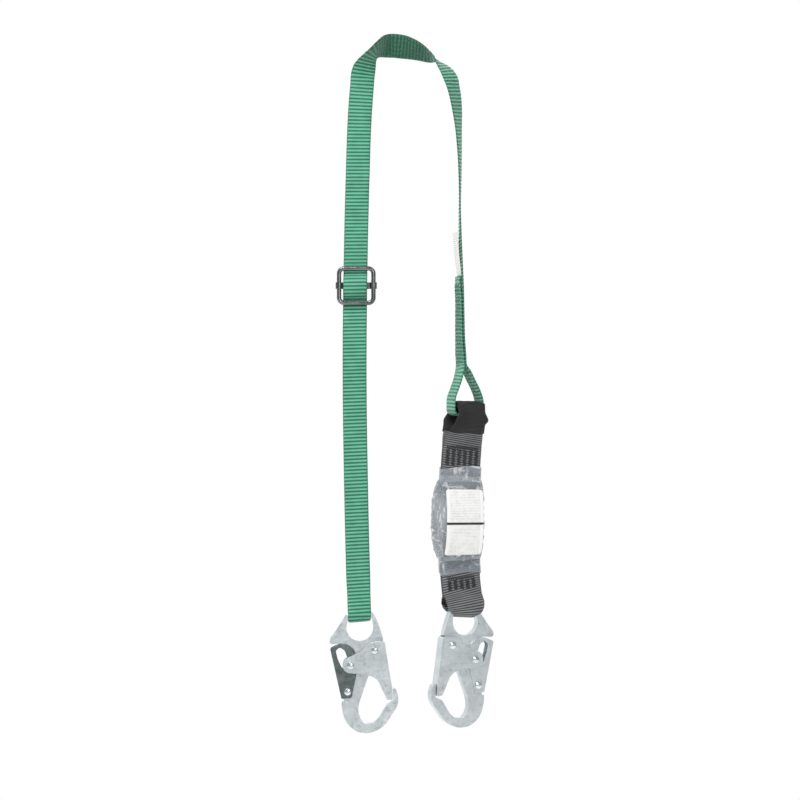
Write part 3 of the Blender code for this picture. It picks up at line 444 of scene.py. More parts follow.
def frames(rows):
    """Centre, direction across, surface normal and half width at each row."""
    centre, half = rows[:, :3], rows[:, 6:7]
    step = unit(centre[1:] - centre[:-1])
    along = unit(np.vstack([step[:1], step[:-1] + step[1:], step[-1:]]))
    across = rows[:, 3:6]
    across = unit(across - along * np.sum(across * along, axis=1, keepdims=True))
    return centre, across, np.cross(along, across), half


STEPS_PER_RIB = 6


def band_section(columns=12):
    """Places round a flat band's section: across from -1 to 1 and back, and how far its faces stand off."""
    turn = np.linspace(0.0, math.pi, columns)
    across = -np.cos(turn)
    across = np.sign(across) * np.abs(across) ** 0.8
    off = (1.0 - np.abs(across) ** 10) ** 0.5
    return np.concatenate([across, across[-2:0:-1]]), np.concatenate([off, -off[-2:0:-1]])


def band(rows, start, stop, thickness, rib=0.0, pitch=1.0, slant=0.0, columns=12, step=None, lift=None):
    """A band of webbing carried along a route from one distance to another.

    At each place its section is a flat loop, as wide as the row says. Its faces stand half a thickness off
    the middle plane, plus half of rib times a rounded wave of this pitch, which fades at the selvedges.
    lift moves its points, from their centre line and their offsets across.
    """
    step = step or pitch / STEPS_PER_RIB
    place = np.linspace(start, stop, max(2, round((stop - start) / step) + 1))
    centre, across, normal, half = frames(at_length(rows, place))
    u, off = band_section(columns)
    wave = np.abs(np.sin(math.pi * (place[:, None] + slant * u * half) / pitch)) ** 0.85
    stand = off * (thickness / 2 + rib / 2 * wave * (1.0 - 0.45 * np.abs(u) ** 6))
    edge = 1.0 + 0.012 * (wave - 0.5) * (np.abs(u) > 0.9)
    points = (centre[:, None] + across[:, None] * (u * half * edge)[..., None]
              + normal[:, None] * stand[..., None])
    if lift is not None:
        points = points + lift(centre, u * half)
    return grid_mesh(points, place[:, None], u * half)


THREAD_SIDES = 6


def stitches(rows, spots, height, thread=0.36, columns=6, sag=0.55):
    """Separate stitches on a band's face, each a short thread that arches from one hole to the next.

    spots has a row for each stitch: the distance along the band and the offset across it, for both ends.
    """
    spots = np.asarray(spots, float)
    table = np.hstack(frames(rows))
    along = lengths(rows)

    def place(distance, offset):
        read = np.stack([np.interp(distance, along, column) for column in table.T], axis=-1)
        return read[..., :3] + read[..., 3:6] * offset[..., None], unit(read[..., 6:9])

    t = np.linspace(0.0, 1.0, columns)
    distance = spots[:, 0:1] * (1 - t) + spots[:, 2:3] * t
    offset = spots[:, 1:2] * (1 - t) + spots[:, 3:4] * t
    centre, normal = place(distance, offset)
    arch = np.sqrt(np.maximum(0.0, 1.0 - (2 * t - 1) ** 4))
    side = math.copysign(1.0, height)
    centre = centre + normal * (height - side * sag * (1.0 - arch))[None, :, None]
    tangent = unit(centre[:, -1:] - centre[:, :1])
    beside = np.cross(normal, tangent)
    turn = np.arange(THREAD_SIDES) * 2 * math.pi / THREAD_SIDES
    ring = (beside[:, :, None] * np.cos(turn)[:, None] + normal[:, :, None] * np.sin(turn)[:, None]) * thread
    points = centre[:, :, None] + ring
    run = np.linalg.norm(centre[:, -1] - centre[:, 0], axis=1)
    whole = np.array(grid_faces(columns, THREAD_SIDES, True))
    size = columns * THREAD_SIDES
    first = (np.arange(len(spots)) * size)[:, None]
    faces = (whole[None] + first[:, :, None]).reshape(-1, 4).tolist()
    faces += (first + np.arange(THREAD_SIDES)[::-1]).tolist()
    faces += (first + size - THREAD_SIDES + np.arange(THREAD_SIDES)).tolist()
    mesh = bpy.data.meshes.new("stitches")
    mesh.from_pydata((points.reshape(-1, 3) * MM).tolist(), [], faces)
    store_length(mesh, "along", np.broadcast_to((run[:, None] * t)[:, :, None], points.shape[:3]))
    return faced_out(mesh)


def closed_tube(points, radius, sides):
    """A round wire bent to a ring: circles square to the path, kept from twisting by a steady direction."""
    along = unit(np.roll(points, -1, axis=0) - np.roll(points, 1, axis=0))
    lead = np.zeros(3)
    lead[np.argmin(np.abs(along).max(axis=0))] = 1.0
    beside = unit(np.cross(along, lead))
    over = np.cross(along, beside)
    turn = np.arange(sides) * 2 * math.pi / sides
    ring = beside[:, None] * np.cos(turn)[:, None] + over[:, None] * np.sin(turn)[:, None]
    rings = points[:, None] + radius * ring
    return faced_out(grid_mesh(np.concatenate([rings, rings[:1]]), caps=False), merge=True)


def arc(centre, radius, start, end, steps):
    """Points of an arc, angles in degrees."""
    angles = np.radians(np.linspace(start, end, steps + 1))
    return [(centre[0] + radius * math.cos(a), centre[1] + radius * math.sin(a)) for a in angles]


# --- the strap's route, as the webbing runs -------------------------------------------------------
LEFT_LEG = ((-23, -45.3), (-60, -48.0), (-120, -50.2), (-215, -52.5), (-350, -53.6), (-450, -52.2),
            (-530, -50.4), (-593, -48.4))
LEG_ROWS = smooth([(x, 0.0, z, -1.0, 0.0, 0.0, STRAP_HALF) for z, x in LEFT_LEG])


def leg_row(y, z, half=STRAP_HALF):
    """A row of the left leg; near the hook the webbing turns with the hook's eye bar."""
    tilt = math.radians(LEFT_TILT) * np.clip((-z - 545.0) / 40.0, 0.0, 1.0)
    x = float(np.interp(-z, -LEG_ROWS[:, 2], LEG_ROWS[:, 0]))
    return x, y, z, -math.cos(tilt), 0.0, -math.sin(tilt), half


def sewn_end():
    """The webbing's end: up to the crossbar, over it and down again as the back layer."""
    under = ((0.0, -75), (0.0, -55), (0.6, -36), (2.5, -24), (2.8, -19), (2.54, -14.4), (0.56, -10.55),
             (-1.75, -7.73), (-3.27, -5.08), (-3.8, -2.5))
    over = arc((CROSSBAR_Y, CROSSBAR_HALF_HEIGHT), 2.6, 180, 0, 6)
    back = ((1.4, -2.5), (2.75, -9.14), (5.07, -13.8), (5.35, -20), (5.0, -26), (3.1, -38), (2.45, -55),
            (2.45, -75), (1.3, -100))
    return [leg_row(y, ADJUSTER_Z + z) for y, z in (*under, *over, *back)]


def round_left_eye():
    """Down the back, round the hook's eye bar and up the front."""
    middle, radius = LEFT_EYE[2], 6.3
    bend = arc((0.0, middle), radius, 0, -180, 10)
    down = ((1.3, -450), (1.3, -535), (1.9, -553), (3.9, -573), (5.7, -585))
    rows = [leg_row(y, z, 12.3 if z < -560 else STRAP_HALF) for y, z in down]
    rows += [leg_row(y, z, 12.2 - 0.3 * (middle - z) / radius) for y, z in bend]
    rows += [leg_row(-y, z, 12.3 if z < -560 else STRAP_HALF) for y, z in reversed(down)]
    return rows


def through_adjuster():
    """The running layer: up the front, over the crossbar and behind both bars of the frame."""
    lower = ((-1.3, -100), (-2.45, -75), (-2.45, -55), (-1.85, -36), (0.05, -24), (0.2, -20), (0.0, -15),
             (-1.6, -12), (-3.9, -9.2), (-5.7, -6), (-6.25, -3))
    upper = ((-6.25, 3), (-5.6, 6), (-4.0, 8.4), (-1.8, 11), (-0.2, 13.8), (0.0, 20))
    return [leg_row(y, ADJUSTER_Z + z) for y, z in (*lower, *upper)]


# The crown as seen from the front: x, z of the webbing's outer edge, x, z of its inner edge, and the depth
# of its middle. Its width fixes how far the outer edge stands in front of the inner one.
CROWN_EDGES = (
    (-58.2, -28.5, -33.2, -30.5, 0.0), (-57.0, -15.5, -31.9, -17.0, -1.0), (-54.6, -9.6, -30.8, -9.6, -3.0),
    (-50.4, -4.6, -29.8, -3.6, -5.5), (-43.9, 1.4, -29.0, 0.2, -7.5), (-36.4, 8.5, -28.6, 1.0, -8.0),
    (-29.0, 16.4, -28.0, 1.1, -6.0), (-22.8, 22.6, -25.5, 1.2, -2.0), (-16.5, 25.5, -19.5, 1.1, 3.0),
    (-10.0, 26.0, -12.0, 0.9, 5.0), (-4.0, 25.3, -5.5, 0.4, 6.0), (1.5, 23.7, 0.5, 0.0, 5.5),
    (10.7, 19.2, 9.0, -1.0, 2.5), (18.0, 14.0, 17.0, -2.4, 0.0), (24.0, 8.3, 23.5, -3.5, -2.0),
    (29.0, 2.5, 30.0, -3.6, -3.5), (31.9, -4.0, 36.5, -3.6, -4.3), (34.0, -9.5, 43.5, -6.8, -5.3),
    (37.3, -16.0, 51.0, -12.5, -6.8), (40.5, -23.5, 56.4, -21.3, -8.3), (43.7, -30.9, 58.2, -31.0, -9.0),
    (46.6, -40.0, 59.8, -41.0, -9.0), (49.3, -52.0, 60.6, -53.0, -8.5), (53.6, -76.7, 60.4, -76.7, -6.8),
    (55.8, -98.0, 60.2, -98.0, -4.5), (57.6, -129.9, 59.6, -129.9, -2.0), (58.4, -161.9, 58.4, -161.9, -0.5),
)


def crown():
    """Up the left leg, flat across the crown with its top edge tipping forward, and down edge-on."""
    rows = [leg_row(0.0, z) for z in (-200, -160, -120, -80, -55)]
    for outer_x, outer_z, inner_x, inner_z, y in CROWN_EDGES:
        across_x, across_z = ((outer_x - inner_x) / (2 * STRAP_HALF), (outer_z - inner_z) / (2 * STRAP_HALF))
        across_y = -math.sqrt(max(0.0, 1.0 - across_x**2 - across_z**2))
        middle = ((outer_x + inner_x) / 2, y, (outer_z + inner_z) / 2)
        rows.append((*middle, across_x, across_y, across_z, STRAP_HALF))
    return rows


def turned(degrees):
    """The direction across the strap's right leg, turned about Z."""
    return math.sin(math.radians(degrees)), -math.cos(math.radians(degrees)), 0.0


SPLICE = ((58.8, -190, 3), (59.3, -220, 7), (59.5, -247, 12), (59.7, -275, 14), (60.0, -300, 16),
          (60.7, -318, 19), (61.3, -327, 20))       # x, z and turn of the right leg


def splice_row(z, offset, half=STRAP_HALF):
    """A row beside the strap's right leg, this far to its left."""
    table = np.array(SPLICE, float)
    x, turn = (float(np.interp(-z, -table[:, 1], column)) for column in (table[:, 0], table[:, 2]))
    left = math.radians(turn)
    return x - offset * math.cos(left), -offset * math.sin(left), z, *turned(turn), half


def eye_loop():
    """Down the right leg, round the loop that holds the absorber and up again as the sewn-on tail."""
    down = [(x, 0.0, z, *turned(turn), STRAP_HALF) for x, z, turn in SPLICE]
    middle, side, corner = np.array((LINK[0] + 0.35, 0.0, 0.0)), 16.1, 5.0
    right = [(1.5, -333.5), (6.2, -342.5), (12.0, -353.6), (15.6, -364.0), (side, -371.0)]
    bend = arc((side - corner, LINK[2] + 4.9 + corner), corner, 0, -90, 4)
    ring = right + bend + [(-a, z) for a, z in reversed(bend)]
    ring += [(-side, -371.0), (-15.6, -362.0), (-11.6, -351.0), (-8.2, -341.5), (-6.4, -334.5)]
    loop = []
    for a, z in ring:
        place = middle + a * ACROSS_PACK
        loop.append((place[0], place[1], z, *FRONT_PACK, STRAP_HALF))
    tail = ((-327, 0), (-318, 0), (-300, 0), (-275, 0), (-256, 0.1), (-246, 0.7), (-232.5, 0.7))
    return down + loop + [splice_row(z, LAYER + extra) for z, extra in tail]


def strap_pieces():
    """The webbing in three stretches of one route, so that the free run over the crown is its own piece."""
    route = [sewn_end(), round_left_eye(), through_adjuster(), crown(), eye_loop()]
    rows = smooth([row for part in route for row in part])
    along = lengths(rows)
    joint = along[np.cumsum([0] + [10 * len(part) for part in route])[:5]]
    free_from, free_to = joint[3] - 14.0, joint[4] - 4.0
    for name, start, stop in (("strap_lower_leg", 0.0, free_from), ("strap_free_run", free_from, free_to),
                              ("strap_eye_loop", free_to, along[-1])):
        mesh = band(rows, start, stop, STRAP_T, STRAP_RIB, STRAP_PITCH, 0.03)
        made = piece(name, mesh, GREEN, "root", ("main_webbing",))
    return rows, along, joint


STRAP_ROWS, STRAP_ALONG, STRAP_JOINT = strap_pieces()


# --- sewing and tag on the strap ------------------------------------------------------------------
def nearest(rows, along, x=None, z=None, after=0.0, before=1e9):
    """The distance along a route where it is nearest to an x or a z, between two distances."""
    gap = np.abs(rows[:, 0] - x) if x is not None else np.abs(rows[:, 2] - z)
    gap = np.where((along >= after) & (along <= before), gap, 1e9)
    return float(along[np.argmin(gap)])


def zigzag_lines(start, stop, lines, pitch, swing):
    """Ends of stitches that zigzag along several parallel lines."""
    spots = []
    count = max(2, round((stop - start) / pitch))
    place = np.linspace(start, stop, count + 1)
    for line in lines:
        side = np.where(np.arange(count + 1) % 2 == 0, line - swing, line + swing)
        spots += list(zip(place[:-1], side[:-1], place[1:], side[1:]))
    return spots


def bartacks(start, stop, offsets, swing, pitch):
    """Ends of stitches in dense upright zigzags, one at each offset across the band."""
    place = np.linspace(start, stop, max(2, round((stop - start) / pitch)) + 1)
    turn = np.where(np.arange(len(place)) % 2 == 0, -swing, swing)
    spots = []
    for k, offset in enumerate(offsets):
        side = offset + turn * (1 if k % 2 else -1)
        spots += list(zip(place[:-1], side[:-1], place[1:], side[1:]))
    return spots


def row_across(place, half, stitch, swing):
    """Ends of stitches that zigzag across the band in one row."""
    offsets = np.arange(-half, half + 0.01, stitch)
    side = np.where(np.arange(len(offsets)) % 2 == 0, place - swing, place + swing)
    return list(zip(side[:-1], offsets[:-1], side[1:], offsets[1:]))


SEWING_LINES = (-9, -4.5, 0, 4.5, 9)


def strap_sewing():
    """Five zigzag lines over each sewn stretch: across the crown, up the splice and at the adjuster's end."""
    crown_start = nearest(STRAP_ROWS, STRAP_ALONG, x=-20.0, after=STRAP_JOINT[3] + 150,
                          before=STRAP_JOINT[4] - 100)
    crown_stop = nearest(STRAP_ROWS, STRAP_ALONG, x=27.0, after=crown_start, before=STRAP_JOINT[4] - 60)
    tail_start = nearest(STRAP_ROWS, STRAP_ALONG, z=-326.0, after=STRAP_ALONG[-1] - 110)
    tail_stop = nearest(STRAP_ROWS, STRAP_ALONG, z=-240.0, after=STRAP_ALONG[-1] - 110)
    back_start = nearest(STRAP_ROWS, STRAP_ALONG, z=ADJUSTER_Z - 38, after=85, before=170)
    for place, start, stop, pitch, swing, height in (
            ("crown", crown_start, crown_stop, 2.4, 1.3, 1.25),
            ("splice", tail_start, tail_stop, 2.6, 1.2, -1.25),
            ("adjuster", back_start, back_start + 34.0, 2.4, 1.3, 1.25)):
        mesh = stitches(STRAP_ROWS, zigzag_lines(start, stop, SEWING_LINES, pitch, swing), height)
        piece(f"{place}_sewing", mesh, GREEN_THREAD, "root", (f"{place}_stitching",))


def tag():
    """The tag under the splice's tail: a thin strip that stands a little off the strap."""
    places = ((-246, 1.6, 12), (-233, 1.6, 10), (-226, 2.3, 11.5), (-212, 3.8, 13), (-186, 5.4, 14))
    rows = smooth([(*splice_row(z, offset)[:3], *turned(turn), 10.5) for z, offset, turn in places])
    mesh = band(rows, 0.0, lengths(rows)[-1], 0.45, step=0.8, columns=14)
    piece("tag_strip", mesh, TAG, "root", ("id_tag",))


strap_sewing()
tag()


# --- slide adjuster -------------------------------------------------------------------------------
def adjuster():
    """The wire frame: a round section carried round a rectangle with round corners."""
    path = []
    for quarter, (sx, sz) in enumerate(((1, 1), (-1, 1), (-1, -1), (1, -1))):
        centre = ((FRAME_HALF_WIDTH - FRAME_CORNER) * sx, (FRAME_HALF_HEIGHT - FRAME_CORNER) * sz)
        path += arc(centre, FRAME_CORNER, 90 * quarter, 90 * quarter + 90, 10)
    points = np.array([(FRAME_X + x, ADJUSTER_FRAME_Y, ADJUSTER_Z + z) for x, z in path])
    piece("adjuster_wire_frame", closed_tube(points, FRAME_WIRE, 20), BUCKLE, "adjuster",
          ("adjuster_frame",))


adjuster()


# --- metal parts from their solids ----------------------------------------------------------------
HEAD_HEIGHT, HEAD_SPREAD = 1.9, 1.22
CORNER_ANGLE = 28.0                     # edges sharper than this are eased


def set_heads(work, way):
    """Spreads a rivet's two ends: points within a head's height of an end move out from its axis."""
    middle = sum((v.co for v in work.verts), Vector()) / len(work.verts)
    reach = max(abs((v.co - middle).dot(way)) for v in work.verts)
    for vert in work.verts:
        axial = (vert.co - middle).dot(way)
        if abs(axial) > reach - HEAD_HEIGHT * MM:
            vert.co = middle + way * axial + (vert.co - middle - way * axial) * HEAD_SPREAD


def eased(node, name, finish, body, width, heads=None):
    """A copy of a solid with its loose triangles merged and its corners eased round.

    heads is a rivet's direction: what is past its plates spreads to the size of a set head.
    """
    mesh = NODES[node].data.copy()
    work = bmesh.new()
    work.from_mesh(mesh)
    bmesh.ops.remove_doubles(work, verts=work.verts, dist=2e-6)
    if heads is not None:
        set_heads(work, heads)
    bmesh.ops.dissolve_limit(work, angle_limit=math.radians(1.0), verts=work.verts, edges=work.edges)
    sharp = [edge for edge in work.edges
             if len(edge.link_faces) == 2 and edge.calc_face_angle(0.0) > math.radians(CORNER_ANGLE)]
    bmesh.ops.bevel(work, geom=sharp, offset=width * MM, offset_type="OFFSET", segments=2, profile=0.5,
                    affect="EDGES", clamp_overlap=True)
    work.to_mesh(mesh)
    work.free()
    mesh.materials.clear()
    for label in [a.name for a in mesh.attributes if a.name in ("sharp_edge", "sharp_face", "custom_normal")]:
        mesh.attributes.remove(mesh.attributes[label])
    made = piece(name, mesh, finish, body, (node,))
    mesh.shade_smooth()
    steady_normals(mesh)
    return made


def hook_metal(side):
    """One hook's forging, gate, lock plate, rivets and springs."""
    hook, gate, lock = f"{side}_hook", f"{side}_gate", f"{side}_lock"
    eased(f"{side}_hook_body", f"{side}_forging", ZINC, hook, 0.5)
    eased(f"{side}_gate", f"{side}_gate_plate", ZINC, gate, 0.3)
    if side == "left":
        # the left lock plate gets the darker copy of the zinc: a painted dark reflection
        eased("left_lock_lever", "left_lock_plate", DARK_ZINC, lock, 0.3)
    else:
        eased("right_lock_lever", "right_lock_plate", ZINC, lock, 0.3)
    through = Vector((0.0, -1.0, 0.0)) if side == "left" else Vector(FRONT_PACK)
    for node, body in ((f"{side}_gate_rivet", hook), (f"{side}_lock_rivet", hook),
                       (f"{side}_gate_pin", gate)):
        eased(node, f"{node}_head", RIVET, body, 0.2, heads=through)
    for node, body in ((f"{side}_gate_spring", gate), (f"{side}_lock_spring", lock)):
        eased(node, f"{node}_wire", SPRING, body, 0.05)


for side in ("left", "right"):
    hook_metal(side)
eased("adjuster_crossbar", "adjuster_bar", BUCKLE, "root", 0.3)


# --- energy absorber ------------------------------------------------------------------------------
PACK_LINE = ((-366, 64.0), (-384, 63.7), (-412, 60.8), (-440, 58.9), (-470, 57.8), (-505, 57.3), (-535, 57.7),
             (-560, 59.5), (-586.8, 62.3), (-596, 61.8))
PACK_ROWS = smooth([(x, 0.0, z, *ACROSS_PACK, PACK_HALF) for z, x in PACK_LINE])


def pack_row(depth, z, half=PACK_HALF, tilt=0.0):
    """A row of the absorber's leg: depth is towards its front."""
    x = float(np.interp(-z, -PACK_ROWS[:, 2], PACK_ROWS[:, 0]))
    place = np.array((x, 0.0, z)) + depth * FRONT_PACK
    across = ACROSS_PACK * math.cos(math.radians(tilt)) - UP * math.sin(math.radians(tilt))
    return (*place, *across, half)


def top_loop_rows():
    """Up the front layer, round the loop that the strap passes through, and down the back layer."""
    front = [(1.25, -412, 22), (3.6, -405.5, 21.4), (9.5, -397.5, 19.0), (15.4, -391, 16.4)]
    ring = []
    for angle in (90, 80, 71, 60, 45, 30, 15, 0):
        half = 11.9 if angle <= 71 else 11.9 + 2.9 * (angle - 71) / 19
        turn = math.radians(angle)
        ring.append((LINK_N * math.sin(turn), LINK[2] + LINK_H * math.cos(turn), half))
    upper = front + ring
    return upper + [(-depth, z, half) for depth, z, half in reversed(upper[:-1])]


def bottom_loop_rows(inset, wide=False):
    """Round the right hook's eye bar, this far inside the webbing's own line.

    The wide webbing bunches in front of and behind the eye's arms, and is narrow only under the bar.
    """
    middle, radius = RIGHT_EYE[2], 7.7 - inset
    legs = [(4.3 - 1.2 * inset, -574.6, 22.0), (7.8 - 1.15 * inset, -581.4, 21.3 if wide else 21.0),
            (7.95 - inset, -585.5, 20.2 if wide else 12.6)]
    halves = np.full(13, 12.4)
    if wide:
        halves = np.interp(np.arange(13), (0, 1, 2, 3, 4), (19.4, 18.2, 16.0, 13.4, 12.4))
        halves = np.maximum(halves, halves[::-1])
    bend = [(depth, z, half) for (depth, z), half in zip(arc((0.0, middle), radius, 0, -180, 12), halves)]
    rows = legs + bend + [(-depth, z, half) for depth, z, half in reversed(legs)]
    return [pack_row(*row, tilt=RIGHT_TILT * np.clip((-row[1] - 570.0) / 15.0, 0.0, 1.0)) for row in rows]


def soft_step(value):
    """A smooth rise from 0 to 1 as the value goes from 0 to 1."""
    held = np.clip(value, 0.0, 1.0)
    return held * held * (3.0 - 2.0 * held)


def pack_depth(centre):
    """How far places on the absorber's leg are in front of its middle plane."""
    x = np.interp(-centre[:, 2], -PACK_ROWS[:, 2], PACK_ROWS[:, 0])
    return (centre[:, 0] - x) * FRONT_PACK[0] + centre[:, 1] * FRONT_PACK[1]


def clear_of_arms(centre, a):
    """Moves the webbing's outer parts forward or back, clear of the hook eye's arms beside the bar."""
    depth = pack_depth(centre)[:, None]
    near = soft_step((RIGHT_EYE[2] + 4.0 - centre[:, 2:3]) / 4.0)
    amount = near * np.maximum(0.0, 8.3 - np.abs(depth)) * soft_step((np.abs(a) - 12.0) / 2.6)
    return (amount * np.sign(depth))[..., None] * FRONT_PACK


def grey_loops():
    """The absorber's upper and lower grey webbing, each over its loop, and the liner inside the lower one."""
    front_legs = [pack_row(1.25, z) for z in (-445, -437, -429, -421)]
    back_legs = [pack_row(-1.25, z) for z in (-421, -429, -437, -445)]
    ring = [pack_row(*row) for row in top_loop_rows()]
    top = smooth(front_legs + ring + back_legs)
    mesh = band(top, 0.0, lengths(top)[-1], PACK_T, PACK_RIB, PACK_PITCH, 0.10, columns=16)
    piece("absorber_top_webbing", mesh, GREY, "absorber", ("absorber_top_loop",))
    ends = [pack_row(1.25, z) for z in (-535, -542, -549, -556, -564)] + [pack_row(2.2, -571.5)]
    far = [pack_row(-2.2, -571.5)] + [pack_row(-1.25, z) for z in (-564, -556, -549, -542, -535)]
    bottom = smooth(ends + bottom_loop_rows(0.0, True) + far)
    mesh = band(bottom, 0.0, lengths(bottom)[-1], PACK_T, PACK_RIB, PACK_PITCH, 0.10, columns=16,
                lift=clear_of_arms)
    piece("absorber_bottom_webbing", mesh, GREY, "absorber", ("absorber_bottom_loop",))
    liner = smooth(bottom_loop_rows(1.8))
    mesh = band(liner, 0.0, lengths(liner)[-1], 0.8, step=0.8, columns=20)
    piece("lower_liner", mesh, BLACK, "absorber", ("lower_wear_liner",))


grey_loops()


def wear_sleeve():
    """The black sleeve round the top loop: a flat tube with soft creases across it.

    Its right front corner stands forward as an ear, past the strap's right strand, before it goes over.
    """
    ring = [pack_row(*row) for row in top_loop_rows()]
    rows = smooth([pack_row(9.0, -398.0, 19.0)] + ring[3:-3] + [pack_row(-9.0, -398.0, 19.0)])
    place = np.linspace(0.0, lengths(rows)[-1], 120)
    centre, across, normal, half = frames(at_length(rows, place))
    u, off = band_section(22)
    crease = (0.30 * np.sin(place[:, None] * 0.42 + 2.2 * u) * np.cos(1.9 * u + place[:, None] * 0.07)
              + 0.18 * np.sin(place[:, None] * 1.1 - 4.0 * u))
    depth = pack_depth(centre)
    angle = np.degrees(np.arctan2(np.maximum(depth, 0.0) / LINK_N, (centre[:, 2] - LINK[2]) / LINK_H))
    ear = (soft_step((angle - 14.0) / 14.0) * soft_step((112.0 - angle) / 22.0))[:, None]
    shells = []
    for spread, share in ((1.45, 1.0), (0.62, 0.6)):
        stand = off * (PACK_T / 2 + 0.15 + spread + share * np.maximum(-0.3, crease))
        a = u * (half + spread) + 3.3 * ear * np.maximum(u, 0.0)
        push = ear * np.maximum(0.0, 16.0 - depth[:, None]) * soft_step((a - 10.5) / 3.5)
        points = (centre[:, None] + across[:, None] * a[..., None] + normal[:, None] * stand[..., None]
                  + push[..., None] * FRONT_PACK)
        shells.append(points)
    outer, inner = shells
    lip = np.concatenate([outer, inner[::-1]])
    along = np.concatenate([place, place[::-1]])[:, None]
    lip = np.concatenate([lip, lip[:1]])
    along = np.concatenate([along, along[:1]])
    mesh = faced_out(grid_mesh(lip, along, u * half.mean(), caps=False), merge=True)
    piece("black_wear_sleeve", mesh, BLACK, "absorber", ("wear_sleeve",))


wear_sleeve()


def bulge(z, half_length):
    """How far the folded stack swells at a height, from 0 at its ends to 1 at its middle."""
    return np.maximum(0.0, 1.0 - np.abs((z - STACK_MIDDLE) / half_length) ** 2.4) ** 0.62


def outline(count_front, count_side):
    """Places round the absorber's section: a from -1 to 1 and q from 0 at the back to 1 at the front."""
    a = np.concatenate([np.linspace(-1, 1, count_front), np.ones(count_side), np.linspace(1, -1, count_front),
                        -np.ones(count_side)])
    q = np.concatenate([np.ones(count_front), np.linspace(1, 0, count_side + 2)[1:-1], np.zeros(count_front),
                        np.linspace(0, 1, count_side + 2)[1:-1]])
    return a, q


def pack_wall(z, a, q, half, front, back):
    """Points of a section at each height: a across, q through, with its front and back depths."""
    x = np.interp(-z, -PACK_ROWS[:, 2], PACK_ROWS[:, 0])
    centre = np.stack([x, np.zeros_like(x), z], axis=-1)
    depth = -back[:, None] * (1 - q) + front[:, None] * q
    return centre[:, None] + (a * half)[..., None] * ACROSS_PACK + depth[..., None] * FRONT_PACK


LAYERS, FOLD_HALF = 15, 20.6


def folded_stack():
    """The folded webbing inside the cover: many layers, which show as grooves down its two sides."""
    z = STACK_MIDDLE + STACK_HALF * np.cos(np.linspace(0.04, math.pi - 0.04, 70))
    a, q = outline(14, LAYERS * 7)
    swell = bulge(z, STACK_HALF)
    groove = 1.0 - 0.035 * np.abs(np.cos(math.pi * LAYERS * q)) ** 3 * (np.abs(a) > 0.999)
    uneven = 0.35 * np.sin(np.round(LAYERS * q) * 2.4 + 0.6) * (np.abs(a) > 0.999)
    half = FOLD_HALF * groove + uneven + 0.0 * z[:, None]
    points = pack_wall(z, np.broadcast_to(a, half.shape), q, half, 2.0 + STACK_FRONT * swell,
                       2.0 + STACK_BACK * swell)
    mesh = grid_mesh(points, z[:, None] + 0.0 * a, a * FOLD_HALF + q * 8.0)
    piece("folded_tear_webbing", mesh, FOLDED, "absorber", ("tear_webbing",))


COVER_TOP, COVER_BOTTOM = -436.0, -549.0
COVER_HALF, COVER_DEPTH, COVER_ROOM = 22.9, 2.85, 1.9       # its necks' half width and depth, and its slack
FILM_T = 0.3


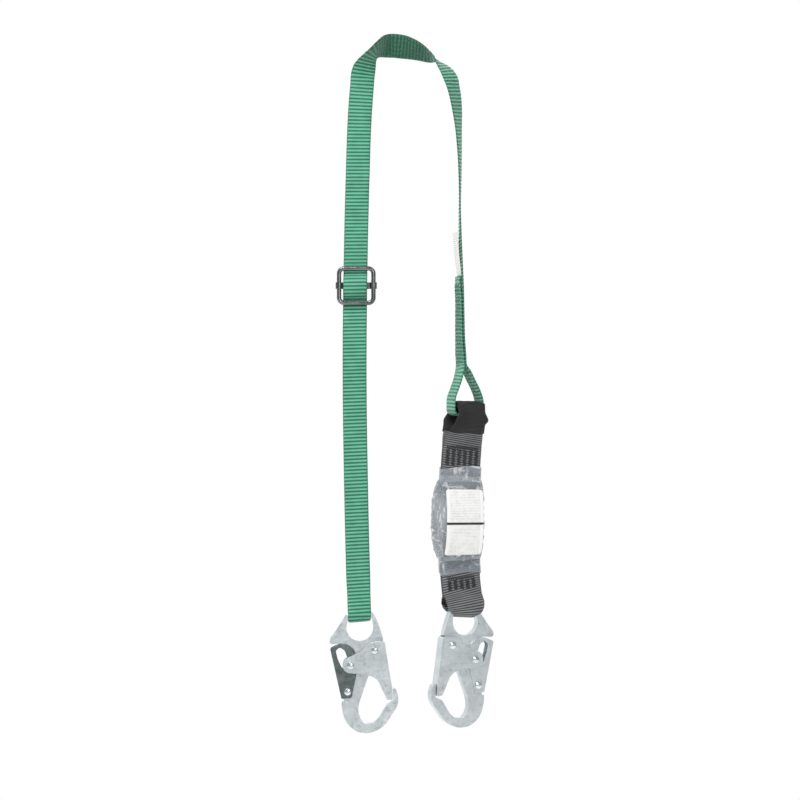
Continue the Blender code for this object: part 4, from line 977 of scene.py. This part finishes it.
def cover():
    """The clear cover: it follows the stack with a little room, flat in front and creased at its sides.

    The creases are ridged waves, strongest on the two sides and where the necks begin; both ends are cut
    in a shallow wave.
    """
    t = np.linspace(0.0, 1.0, 110)
    a, q = outline(26, 34)
    z0 = COVER_TOP + (COVER_BOTTOM - COVER_TOP) * t
    swell = bulge(z0, STACK_HALF + COVER_ROOM)
    front, back = COVER_DEPTH + STACK_FRONT * swell, COVER_DEPTH + STACK_BACK * swell
    side = np.clip((np.abs(a) - 0.72) / 0.28, 0.0, 1.0)
    around = np.cumsum(np.concatenate([[0.0], np.hypot(np.diff(a) * 22.0, np.diff(q) * 25.0)]))
    ridge = (1.0 - np.abs(np.sin(0.19 * z0[:, None] + 0.33 * around + 1.3 * np.sin(0.11 * z0[:, None]))))
    ridge2 = (1.0 - np.abs(np.sin(0.41 * z0[:, None] - 0.27 * around + 0.8)))
    neck = (1.0 - swell)[:, None] ** 2
    half = COVER_HALF + side * swell[:, None] * (-1.0 + 1.1 * ridge**2 + 0.6 * ridge2**3)
    half = np.minimum(half, 23.3)
    lift = (0.25 + 0.55 * neck) * (ridge2**4 + 0.7 * ridge**4) * (1 - 0.6 * side)
    edge = 1.6 * np.sin(2.1 * a + 0.7) * (q > 0.5) - 1.0 * np.sin(1.7 * a) * (q <= 0.5)
    z = z0[:, None] + edge * (np.clip((t - 0.90) / 0.1, 0, 1) + np.clip((0.10 - t) / 0.1, 0, 1))[:, None]
    x = np.interp(-z, -PACK_ROWS[:, 2], PACK_ROWS[:, 0])
    depth = -(back[:, None] + lift) * (1 - q) + (front[:, None] + lift * (swell[:, None] < 0.5)) * q
    corner = 1.0 - 0.03 * (np.abs(a) > 0.99) * (np.abs(q - 0.5) > 0.47)
    points = (np.stack([x, np.zeros_like(x), z], axis=-1) + (a * half * corner)[..., None] * ACROSS_PACK
              + depth[..., None] * FRONT_PACK)
    mesh = faced_out(grid_mesh(points, z0[:, None] + 0.0 * a, around + 0.0 * z0[:, None], caps=False))
    made = piece("clear_cover", mesh, FILM, "absorber", ("shrink_cover",))
    wall = made.modifiers.new("film", "SOLIDIFY")
    wall.thickness = FILM_T * MM
    wall.offset = 0.0


LABEL_HALF, LABEL_CORNER, LABEL_LIFT = 20.8, 3.4, 0.95


def labels():
    """Two labels that follow the cover's front, each with its free corners round."""
    for name, node, finish, top, bottom in (("upper_label", "label_upper", LABEL_UPPER, -459.0, -495.6),
                                            ("lower_label", "label_lower", LABEL_LOWER, -496.4, -528.5)):
        z = np.linspace(top, bottom, 60)
        depth = COVER_DEPTH + STACK_FRONT * bulge(z, STACK_HALF + COVER_ROOM) + LABEL_LIFT
        free = (top - z) if name == "upper_label" else (z - bottom)
        corner = 1.0 - np.sqrt(1.0 - np.clip(1.0 - free / LABEL_CORNER, 0.0, 1.0) ** 2)
        half = LABEL_HALF - LABEL_CORNER * corner
        rows = np.array([pack_row(d, height, h) for d, height, h in zip(depth, z, half)])
        mesh = band(rows, 0.0, lengths(rows)[-1], 0.3, step=0.6, columns=16)
        piece(name, mesh, finish, "absorber", (node,))


def pack_sewing():
    """Heavy black zigzag rows that close the webbing above and below the cover."""
    for name, node, top, bottom in (("upper_sewing", "top_stitching", -413.0, -434.5),
                                    ("lower_sewing", "bottom_stitching", -551.0, -566.0)):
        rows = smooth([pack_row(1.25, z) for z in np.linspace(top + 4, bottom - 4, 6)])
        along = lengths(rows)
        first = nearest(rows, along, z=top)
        last = nearest(rows, along, z=bottom)
        columns, reach = (6, 18.2) if top > -500 else (5, 15.6)
        offsets = np.linspace(-reach + 1.9, reach - 1.9, columns)
        spots = bartacks(first + 4.4, last - 0.6, offsets, 2.35, 0.85)
        spots += row_across(first + 2.0, reach, 1.4, 1.8)
        height = -1.30 if frames(rows)[2][0] @ FRONT_PACK < 0 else 1.30
        piece(name, stitches(rows, spots, height, 0.42), BLACK_THREAD, "absorber", (node,))


folded_stack()
cover()
labels()
pack_sewing()
